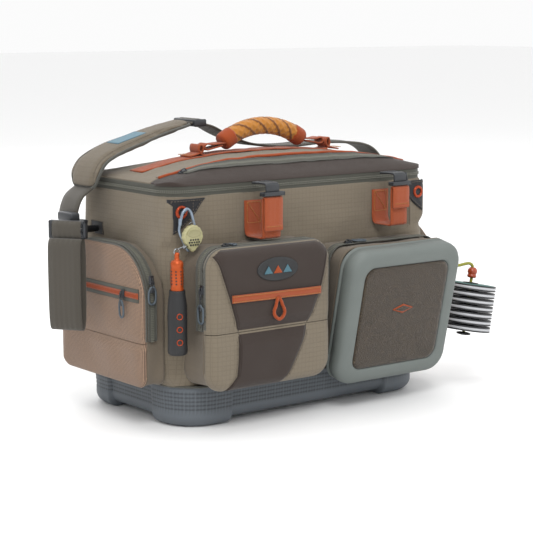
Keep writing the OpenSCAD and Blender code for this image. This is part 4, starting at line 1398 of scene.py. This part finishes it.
def make_pad():
    """Padded, quilted strap pad with a bound edge and a stitched plain patch."""
    path = curve(PAD_PATH, 3.0)
    tangent = unit(np.gradient(path, axis=0))
    normal = np.cross((0, -1, 0), tangent)
    normal *= np.sign(normal[:, 2:3] + 1e-9)
    run = distances(path)
    total, sections = run[-1], []
    for c, n, s in zip(path, normal, run):
        taper = min(1.0, 0.62 + 0.38 * math.sqrt(min(1, min(s, total - s) / 16)))
        half, ring = pad_half(s / total) * taper, []
        for k in range(28):
            a = 2 * math.pi * k / 28
            w = math.copysign(abs(math.cos(a)) ** 0.55, math.cos(a)) * half
            h = math.copysign(abs(math.sin(a)) ** 0.75, math.sin(a))
            swell = 3.6 + 0.5 * wrinkle((s, w, 40 * h), 16, 2)
            ring.append(c + np.array((0, -1, 0)) * w + n * h * swell)
        sections.append(np.array(ring))
    pad = piece("strap_pad_cloth", loft(sections, caps=True), PAD, "strap", nodes=["shoulder_pad"],
                slot="pad_cloth")
    puff(pad, voxel=4.0, pressure=4.0, cap=2.2)
    rows = [path + normal * 4.0 + np.outer([pad_half(s / total) - 7.5 for s in run], (0, sign, 0)) for sign in (1,
                                                                                                                -1)]
    press(pad, np.concatenate(rows), 4.5, 1.7)
    pad.modifiers.new("smooth", "SUBSURF").render_levels = 1
    edge = []
    for sign in (1, -1):
        line = []
        for c, s in zip(path, run):
            taper = min(1.0, 0.62 + 0.38 * math.sqrt(min(1, min(s, total - s) / 16)))
            line.append(c + np.array((0, sign * (pad_half(s / total) * taper - 0.4), 0)))
        edge += line if sign > 0 else line[::-1]
    piece("strap_pad_binding", tube(resample(np.array(edge), 2.5, closed=True), 1.7, 10, closed=True),
          BINDING, "strap", slot="web_strap")
    for sign, tag in ((1, "back"), (-1, "front")):
        line = np.array([c + n * 3.9 + np.array((0, sign * (pad_half(s / total) - 7.5), 0))
                         for c, n, s in zip(path, normal, run)])[4:-4]
        piece(f"strap_pad_stitch_{tag}", stitches(line, np.array((0, 0, 0.25)), 3.4, 2.2), GUSSET, "strap",
              slot="pad_cloth")
    pick = [i for i in range(len(path)) if 62 < run[i] < 102]
    rows = [[path[i] + normal[i] * 6.0 + np.array((0, w, 0)) for w in np.linspace(-12, 12, 14)]
            for i in pick]
    vertices = np.array(rows).reshape(-1, 3)
    piece("strap_pad_patch", (vertices, grid_faces(len(pick), 14)), BLUE, "strap", thick=0.9, slot="pad_cloth")


def make_strap():
    make_pad()
    strap("strap_web_left", curve(WEB_LEFT, 2.5), 38, STRAP, "strap", 2.4, (0, 1, 0), nodes=["strap_web"],
          slot="web_strap")
    path = curve(WEB_RIGHT, 3)
    strap("strap_web_right", path, 38, STRAP, "strap", 2.4, (0, 1, 0), slot="web_strap")
    for sign in (1, -1):
        tangent = np.gradient(path, axis=0)
        normal = np.cross((0, -1, 0), unit(tangent))
        line = path + normal * 1.2 + np.array((0, sign * 14.5, 0))
        piece("strap_web_stitch_" + ("a" if sign > 0 else "b"), stitches(line[3:-3], np.array((0, 0, 0.2)),
              3.4, 2.2), BINDING, "strap", slot="web_strap")
    bars = []
    for x in (-67.5, -60.5, -53.5):
        bars.append(rounded_box((x - 1.5, 26, 321.0), (x + 1.5, 70, 329), 1.2))
    for y in (25.6, 66.4):
        bars.append(rounded_box((-69, y, 320.6), (-52, y + 4, 329.4), 1.8))
    piece("strap_slide_frame", join(bars), HARD, "strap", nodes=["strap_buckles"], slot="hardware_dark")
    over = curve([(-71, 48, 324.2), (-66, 48, 327.6), (-60.5, 48, 329.2), (-55, 48, 327.2), (-50, 48, 322.9)], 1.5)
    strap("strap_slide_web", over, 36, STRAP, "strap", 1.8, (0, 1, 0), slot="web_strap")
    turn_z = np.array(Matrix.Rotation(math.radians(-53), 3, "Z"))
    frame_bars, adjuster = [], (-246, 18, 216)
    for low, high in (((-22, -4, -10), (22, 4, -6)), ((-22, -4, 6), (22, 4, 10)), ((-22, -3.6, -1.6), (22, 3.6, 1.6)),
                      ((-22, -4, -10), (-18, 4, 10)), ((18, -4, -10), (22, 4, 10))):
        frame_bars.append(turned(rounded_box(low, high, 1.4), turn_z, adjuster))
    for z in (-4.5, 3.5):
        frame_bars.append(turned(rounded_box((-18, -4.1, z), (18, -1.0, z + 2.2), 0.8), turn_z, adjuster))
    frame_bars.append(rounded_box((-241.5, 19, 223), (-229.5, 49, 233), 2.2))
    piece("strap_adjuster", join(frame_bars), HARD, "strap", slot="hardware_dark")
    face = curve([(0, -2.5, -9.5), (0, -5.2, -6), (0, -5.8, 0), (0, -5.2, 6), (0, -2.5, 9.5)], 1.2)
    strap("strap_adjuster_web", face @ turn_z.T + np.array(adjuster), 34, STRAP, "strap", 1.6,
          turn_z @ np.array((1.0, 0, 0)), slot="web_strap")
    loop = [(0, -3, 0), (0, -7.6, -8), (0, -8.2, -40), (0, -7.2, -80), (0, -4.6, -97), (0, 0, -101.5),
            (0, 4.8, -97), (0, 7.4, -80), (0, 8.2, -40), (0, 7.4, -8), (0, 3, -0)]
    path = curve(loop, 2.5) @ turn_z.T + np.array((-250, 15, 206.5))
    across = turn_z @ np.array((1.0, 0, 0))
    vertices, faces, uv = ribbon(path, 38, 1.8, across)
    hanging = piece("strap_hanging_loop", (vertices, faces), STRAP, "strap", nodes=["strap_left_loop"], uv=uv,
                    slot="web_strap")
    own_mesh(hanging)
    for side, tag in ((-1, "left"), (1, "right")):
        eye = [(4.8, -3.0), (5.4, -3.4), (7.2, -3.4), (8.0, -2.6), (8.0, 2.6), (7.2, 3.4), (5.4, 3.4), (4.8, 3.0)]
        vertices, faces = lathe(eye + eye[:1], 40, (side * 210, 48, 210), (1, 0, 0))
        faces = [f for f in faces if len(f) == 4]
        plate = rounded_box((min(side * 206, side * 234), 40.5, 217.5), (max(side * 206, side * 234), 55.5, 221.5),
                            1.4)
        neck = rounded_box((min(side * 207, side * 213), 43.5, 214.5), (max(side * 207, side * 213), 52.5, 218.5),
                           1.6)
        swivel = lathe([(3.2, 221), (4.4, 221.8), (4.4, 223.0), (3.0, 223.6)], 24, (side * 226, 48, 0))
        piece(f"strap_hook_{tag}", join([(vertices, faces), plate, neck, swivel]), HARD, "strap",
              nodes=["snap_hooks"] if side < 0 else (), slot="hardware_dark")


# ---------------------------------------------------------------- rod straps


def make_rod_straps():
    for x, tag, low in ((-75, "left", 217), (112, "right", 229)):
        tab = curve([(x, -94.2, 247), (x, -94.4, 228), (x, -95.0, 214), (x, -98.5, 208.6), (x, -110, 208),
                     (x, -124, 208)], 2)
        strap(f"rod_tab_{tag}", tab, 25, ORANGE, "bag", 1.8, (1, 0, 0), slot="web_orange",
              nodes=["rod_strap_tabs"] if x < 0 else ())
        box = outline(x - 9.5, x + 9.5, 222, 245, 0.6, 2)
        line = np.array([(px, -95.2, pz) for px, pz in np.vstack([box, box[:1], [box[len(box) // 2]]])])
        piece(f"rod_tab_stitch_{tag}", stitches(line, np.array((0, -0.3, 0)), 2.6, 1.8), GRIP, "bag",
              slot="web_orange")
        rise = curve([(x, -126.6, 208.2), (x, -127.2, 214), (x, -127.0, 232), (x, -127.0, 249), (x, -128.2, 253),
                      (x, -130.6, 252.2), (x, -131.2, 247), (x, -131.0, 236), (x, -131.2, low + 1)], 2)
        strap(f"rod_strap_{tag}_web", rise, 25, ORANGE, f"rod_strap_{tag}", 1.7, (1, 0, 0), nodes=[f"rod_web_{tag}"],
              slot="web_orange")
        piece(f"rod_strap_{tag}_fold", rounded_box((x - 12.6, -132.4, low - 1.0), (x + 12.6, -129.9, low + 6),
              1.1), ORANGE, f"rod_strap_{tag}", slot="web_orange")
        line = np.array([(px, -132.4, low + 4.2) for px in np.linspace(x - 10, x + 10, 20)])
        piece(f"rod_strap_{tag}_stitch", stitches(line, np.array((0, -0.25, 0)), 2.4, 1.7), GRIP,
              f"rod_strap_{tag}", slot="web_orange")
        parts = [rounded_box((x - 15, -133, 254.6), (x + 15, -131, 259), 0.9),
                 rounded_box((x - 15, -127, 254.6), (x + 15, -125, 259), 0.9),
                 rounded_box((x - 15, -133, 254.4), (x - 12.8, -125, 259), 0.9),
                 rounded_box((x + 12.8, -133, 254.4), (x + 15, -125, 259), 0.9),
                 rounded_box((x - 13, -130.4, 255.2), (x + 13, -127.8, 258.4), 0.9),
                 rounded_box((x - 9, -130, 257), (x + 9, -127.2, 267), 1.0)]
        hook = curve([(x, -128.6, 265), (x, -126.5, 267.6), (x, -120, 267.9), (x, -108, 267.6), (x, -103.4, 267.0)],
                     1.2)
        vertices, faces, _ = ribbon(hook, 18, 2.6, (1, 0, 0), 0.8)
        parts.append((vertices, faces))
        for dx in (-5.5, 0, 5.5):
            parts.append(rounded_box((x + dx - 0.8, -122, 268.6), (x + dx + 0.8, -108, 269.6), 0.4))
        piece(f"rod_strap_{tag}_hook", join(parts), HARD, f"rod_strap_{tag}", nodes=[f"rod_hook_{tag}"],
              slot="hardware_dark")


# ---------------------------------------------------------------- retractor and thermometer


def make_retractor():
    """A bent-bar carabiner through the left grommet, a shell-shaped retractor under it."""
    ring = curve([(-170.5, -102.6, 244.6), (-175.6, -102.5, 241), (-178.2, -102.4, 233), (-180.6, -102.8, 222),
                  (-176.4, -103.0, 211), (-169.2, -103.2, 199.4), (-163.5, -103.0, 211), (-160.4, -102.6, 222),
                  (-162.6, -102.4, 233), (-165.6, -102.5, 241)], 1.2, closed=True)
    bar = tube(ring, 1.5, 12, closed=True, up=(0, 1, 0))
    hub = tube(curve([(-172, -94.0, 240), (-172, -97.5, 240.2), (-172, -101.0, 241.6), (-171.4, -102.6, 244.2)], 1.0),
               1.5, 12,
               up=(1, 0, 0))
    nuts = [rounded_box((-181.0, -104.2, 226.5), (-177.6, -100.8, 235), 1.2)]
    piece("clip_bar", join([bar, hub] + nuts), BLUE_METAL, "retractor", nodes=["carabiner"],
          slot="carabiner_metal")
    cx, cz, y = -168.0, 214.5, -109.0

    def shape(scale):
        ring = []
        for k in range(96):
            a = 2 * math.pi * k / 96
            low = max(0.0, -math.sin(a))
            wide = 12.6 * (1 - 0.62 * low ** 1.6) * (1 + 0.022 * math.cos(16 * a))
            tall = (13.2 if math.sin(a) > 0 else 15.4) * (1 + 0.022 * math.cos(16 * a))
            ring.append((cx + wide * math.cos(a) * scale, cz + tall * math.sin(a) * scale))
        return ring

    loops = []
    for scale, depth in ((0.80, 3.9), (0.93, 3.5), (1.0, 2.0), (1.0, -1.4), (0.94, -2.8), (0.86, -3.2), (0.83, -2.9),
                         (0.70, -3.3), (0.4, -3.8)):
        loops.append(np.array([(px, y + depth, pz) for px, pz in shape(scale)]))
    piece("retractor_shell", loft(loops, caps=True), LIME, "retractor", nodes=["retractor_case"],
          slot="retractor_plastic")
    plate = [np.array([(cx + 8.6 * s * math.cos(a), y - d, cz + 4.4 + 4.2 * s * math.sin(a))
                       for a in np.linspace(0, 2 * math.pi, 40, endpoint=False)])
             for s, d in ((1, 3.0), (1, 3.9), (0.92, 4.3), (0.84, 4.0), (0.3, 4.1))]
    piece("retractor_plate", loft(plate, caps=True), LIME_DARK, "retractor", slot="retractor_plastic")
    # Dark rubber discs paint the shade inside the retractor's holes.
    holes = []
    for dz, count in ((-2.4, 4), (-5.2, 5), (-8.0, 4)):
        for k in range(count):
            px = cx + (k - (count - 1) / 2) * 3.1
            holes.append(lathe([(0.3, 3.3), (1.05, 3.35), (1.15, 4.0), (0.95, 4.25), (0.6, 4.1)], 6,
                               (px, y, cz + dz), (0, -1, 0)))
    piece("retractor_holes", join(holes), RUBBER_AND_HOLE_SHADE, "retractor", flat=True, slot="retractor_plastic")
    wire = curve([(-166, -108, 227.4), (-164.5, -107, 229.3), (-165.5, -104.6, 230.2), (-168.6, -103, 227.6)], 0.8)
    piece("retractor_wire", tube(wire, 0.6, 8), STEEL, "retractor", slot="carabiner_metal")


def make_thermometer():
    x, y = -189.0, -110.0
    profile = [(0.6, 95), (4.6, 95.4), (6.2, 97), (6.8, 99), (6.8, 120), (6.8, 158), (7.0, 158.6), (7.0, 162),
               (6.6, 162.6), (6.6, 164), (7.0, 164.6), (7.0, 182), (6.6, 183), (6.6, 184.4), (7.0, 185), (7.0, 188.5),
               (5.8, 191), (3.4, 192), (2.6, 192.6), (2.6, 196.8), (2.9, 197.4), (2.9, 199), (2.0, 199.9), (0.4, 200)]
    piece("thermometer_body", lathe(profile, 36, (x, y, 0)), TUBE, "thermometer", nodes=["thermometer_tube"],
          slot="tube_orange")
    # Dark rubber discs paint the shade inside the tube's perforations.
    holes = []
    for z in np.arange(166.5, 182, 3.4):
        for a in np.radians(np.arange(0, 360, 45) + (z * 13) % 45):
            holes.append(lathe([(0.2, 6.75), (0.95, 6.85), (1.0, 7.05), (0.8, 7.12)], 10,
                               (x, y, z), (math.cos(a), math.sin(a), 0)))
    piece("thermometer_perforations", join(holes), RUBBER_AND_HOLE_SHADE, "thermometer", slot="tube_orange")
    ring = np.array([(x + 3.2 * math.cos(a), y, 200.6 + 3.2 * math.sin(a))
                     for a in np.linspace(0, 2 * math.pi, 28, endpoint=False)])
    bits = [tube(ring, 0.55, 8, closed=True, up=(0, 1, 0)), tube(ring + (0, 0.9, 0), 0.55, 8, closed=True, up=(0, 1,
                                                                                                               0))]
    lanyard = curve([(x + 1.5, y, 203.2), (x + 7, y - 0.6, 205.2), (x + 12.5, y - 0.6, 205.0)], 0.9)
    bits.append(tube(lanyard, 0.7, 8))
    bits.append(rounded_box((-181.5, -111.6, 202.9), (-176.8, -108.6, 206.9), 1.2))
    piece("thermometer_link", join(bits), STEEL, "thermometer", slot="tube_orange")
    inner, outer = np.array((-170.5, -109.2, 204.0)), np.array((-177.2, -110.1, 205.0))
    line = np.array([inner + (outer - inner) * t for t in np.linspace(0, 1, 24)])
    drawn = piece("retractor_pull_line", tube(line, 0.55, 8), RUBBER_AND_HOLE_SHADE, None, slot="cord_lime")
    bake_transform(drawn)
    sleeve = [(7.4, 159), (8.4, 159.4), (8.8, 158), (8.6, 155), (9.6, 150), (10.4, 142), (10.6, 128), (10.4, 112),
              (10.6, 100), (10.9, 95), (10.6, 91), (8.8, 89.3), (5, 89), (2, 89.2)]
    vertices, faces = lathe(sleeve[::-1] + [(7.2, 157), (7.15, 120)], 44, (x, y, 0))
    piece("thermometer_sleeve", (vertices, [f for f in faces if len(f) == 4 or f[0] == 0]), RUBBER_AND_HOLE_SHADE, "sheath",
          nodes=["thermometer_sheath"], slot="sheath_rubber")
    for k, z in enumerate((104, 118, 132)):
        rim = [(2.4, 9.6), (3.3, 9.7), (3.6, 10.4), (3.3, 10.95), (2.6, 10.9), (2.3, 10.3)]
        piece(f"sleeve_rim_{k}", hollow(rim, 28, (x, y, z), (-0.35, -0.937, 0)), GROMMET,
              "sheath", slot="sheath_rubber")


# ---------------------------------------------------------------- tippet spools

TIP = np.array((262.0, -91.0, 90.0))
TIP_AXIS = np.array((math.sin(math.radians(10)), 0, math.cos(math.radians(10))))


def on_tip(height):
    return TIP + TIP_AXIS * height


def make_spools():
    """Seven thin spools of line on one cord, with a cone stopper below and a sliding toggle above."""
    for k in range(7):
        middle = (k - 3) * 8.5
        outer = [(5.2, -3.4), (12, -3.5), (13, -3.1), (30.4, -3.1), (31.6, -3.3), (32, -2.6), (32, -1.9), (31, -1.6),
                 (26.5, -1.5), (26.5, 1.5), (31, 1.6), (32, 1.9), (32, 2.6), (31.6, 3.3), (30.4, 3.1), (13, 3.1),
                 (12, 3.5), (5.2, 3.4)]
        piece(f"tippet_spool_{k}", hollow(outer, 64, on_tip(middle), TIP_AXIS), SILVER,
              "spools", nodes=["tippet_spools"] if k == 0 else (), slot="spool_silver")
        wound = [(26.7, -1.55)]
        for t in np.linspace(-1.2, 1.2, 7):
            wound += [(29.7, t - 0.2), (30.15, t), (29.7, t + 0.2)]
        wound += [(26.7, 1.55)]
        piece(f"tippet_line_{k}", quads(lathe(wound, 64, on_tip(middle), TIP_AXIS)), LINE, "spools",
              slot="spool_silver")
        band = [(31.0, -1.7), (31.8, -1.2), (32.1, 0), (31.8, 1.2), (31.0, 1.7)]
        piece(f"tippet_band_{k}", quads(lathe(band, 64, on_tip(middle), TIP_AXIS)), LINE, "spools",
              slot="spool_silver")
    top = [(5.3, 29.2), (13, 29.15), (29.8, 28.9), (29.8, 28.7), (5.3, 28.7)]
    piece("tippet_label", hollow(top, 64, on_tip(0), TIP_AXIS), LABEL, "spools",
          slot="spool_silver")
    collar = [(2.4, 29.2), (9.6, 29.3), (10, 29.8), (8.6, 30.3), (4.4, 30.6), (2.4, 30.6)]
    piece("tippet_collar", hollow(collar, 40, on_tip(0), TIP_AXIS), RUBBER_AND_HOLE_SHADE, "spools",
          slot="spool_silver")
    cone = [(0.5, -36), (4, -35.9), (8.2, -35.2), (9, -34), (8.8, -33), (6, -32.2), (2.2, -32)]
    stopper = piece("tippet_stopper", lathe(cone, 40, on_tip(0), TIP_AXIS), RUBBER_AND_HOLE_SHADE, "spool_post",
                    slot="cord_lime")
    path = [(170.5, -91, 143.2), (188.5, -91, 143), (205, -91, 142.7), (230, -91, 142.4), (250, -91, 143.4), (262,
                                                                                                              -91, 144.2),
            (268.6, -91, 141.6), on_tip(47), on_tip(40), on_tip(20), on_tip(0), on_tip(-32)]
    line = curve(path, 1.6)
    vertices, faces = tube(line, 1.9, 12, shape=lambda a, i: 1 + 0.07 * np.cos(3 * a + i * 1.1))
    marks = {"tracer": [0.0] * len(vertices)}
    cord = piece("tippet_line_cord", (vertices, faces), CORD, None, nodes=["tippet_cord"], slot="cord_lime",
                 marks=marks)
    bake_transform(cord)
    stop = [(2.3, 36), (4.6, 36.2), (5.6, 37.4), (6.0, 39), (5.2, 40), (5.2, 41.5), (6.0, 42.5), (6.0, 45.5), (5.0,
                                                                                                               47.5),
            (3.6, 49), (2.3, 49.2)]
    piece("tippet_toggle_bead", hollow(stop, 32, on_tip(0), TIP_AXIS), TOGGLE, "toggle",
          nodes=["tippet_toggle"], slot="toggle_orange")


# ---------------------------------------------------------------- zip sliders and pulls


def slider(name, place, normal, hang, drop, width, chain=False):
    """A zip slider with its bridge and a cord pull; normal points off the cloth, hang is where the pull lies."""
    n = np.array(normal, float) / np.linalg.norm(normal)
    h = np.array(hang, float)
    h -= n * (h @ n)
    h /= np.linalg.norm(h)
    turn = np.column_stack([h, np.cross(n, h), n])
    place = np.array(place, float)
    parts = [turned(rounded_box((-5.2, -3.1, 0), (4.6, 3.1, 1.3), 0.6), turn, place),
             turned(rounded_box((-3.4, -2.4, 1.1), (4.4, 2.4, 2.6), 0.7), turn, place)]
    bridge = curve([(-2.6, 0, 2.2), (-2.2, 0, 3.7), (0.6, 0, 4.2), (3.2, 0, 3.7), (3.6, 0, 2.2)], 0.6)
    parts.append(turned(tube(bridge, 0.6, 8, up=(0, 1, 0)), turn, place))
    reach = 3.0
    if drop:
        tab = np.array([(1.4, -1.8, 3.4), (6.8, -1.6, 3.2), (7.6, 0, 3.1), (6.8, 1.6, 3.2), (1.4, 1.8, 3.4), (0.8, 0,
                                                                                                              3.4)])
        parts.append(turned(tube(curve(tab, 0.6, closed=True), 0.55, 8, closed=True), turn, place))
        reach = 6.4
    if chain:
        for k in range(3):
            s = 8.0 + k * 3.0
            ring = np.array([(s + 1.9 * math.cos(a), (1.2 * math.sin(a) if k % 2 else 0.2),
                              3.0 + (0 if k % 2 else 1.2 * math.sin(a))) for a in np.linspace(0, 2 * math.pi, 14,
                                                                                              endpoint=False)])
            parts.append(turned(tube(ring, 0.4, 6, closed=True, up=(0, 0.3, 1)), turn, place))
        reach = 15.5
    piece(name + "_body", join(parts), GUNMETAL, name, nodes=[name], slot="slider_metal")
    if not drop:
        return
    w = width / 2
    loop = [(reach, -0.7, 3.1), (reach + 3, -w * 0.7, 2.9), (drop * 0.55, -w, 2.6), (drop - 4, -w * 0.95, 2.4),
            (drop - 0.8, -w * 0.5, 2.3), (drop, 0, 2.3), (drop - 0.8, w * 0.5, 2.3), (drop - 4, w * 0.95, 2.4),
            (drop * 0.55, w, 2.6), (reach + 3, w * 0.7, 2.9), (reach, 0.7, 3.1)]
    piece(name + "_pull", turned(tube(curve(loop, 1.0), 1.15, 10), turn, place), PULL, name,
          slot="slider_metal")
    piece(name + "_grip", turned(rounded_box((reach + 1, -w * 0.62, 1.4), (reach + 7, w * 0.62, 4.0), 1.0),
          turn, place), HARD, name, slot="slider_metal")


def make_sliders():
    slider("lid_pocket_slider", (-150, -66.4, 279.6), (-0.16, -0.25, 0.95), (1, 0, 0.16), 0, 6)
    slider("front_slider_top", (-140, -129, 203.2), (0, 0, 1), (1, 0, 0), 15, 7)
    slider("bench_slider_top", (40, -120.6, 191.4), (0, 0, 1), (1, -0.12, 0), 24, 10)
    slider("front_slider_left", (-170.9, -131, 160), (-1, 0, 0), (0, 0, -1), 36, 9, chain=True)
    slider("bench_slider_left", (9.4, -119, 170), (-1, 0, 0), (0, 0, -1), 26, 8, chain=True)
    slider("left_arch_slider", (-205, -83.6, 168), (0, -1, 0), (0, 0, -1), 26, 9)
    slider("left_mesh_slider", (-218.9, -50, 150.5), (-1, 0, 0), (0, 0, -1), 26, 8)
    slider("main_zip_slider", (150, -94.6, 259), (0, -1, 0), (0, 0, -1), 16, 6)


make_front_pocket()
make_bench()
make_end_pockets()
make_hinge_cloths()
make_rings()
make_corner_tabs()
make_strap()
make_rod_straps()
make_retractor()
make_thermometer()
make_spools()
make_sliders()
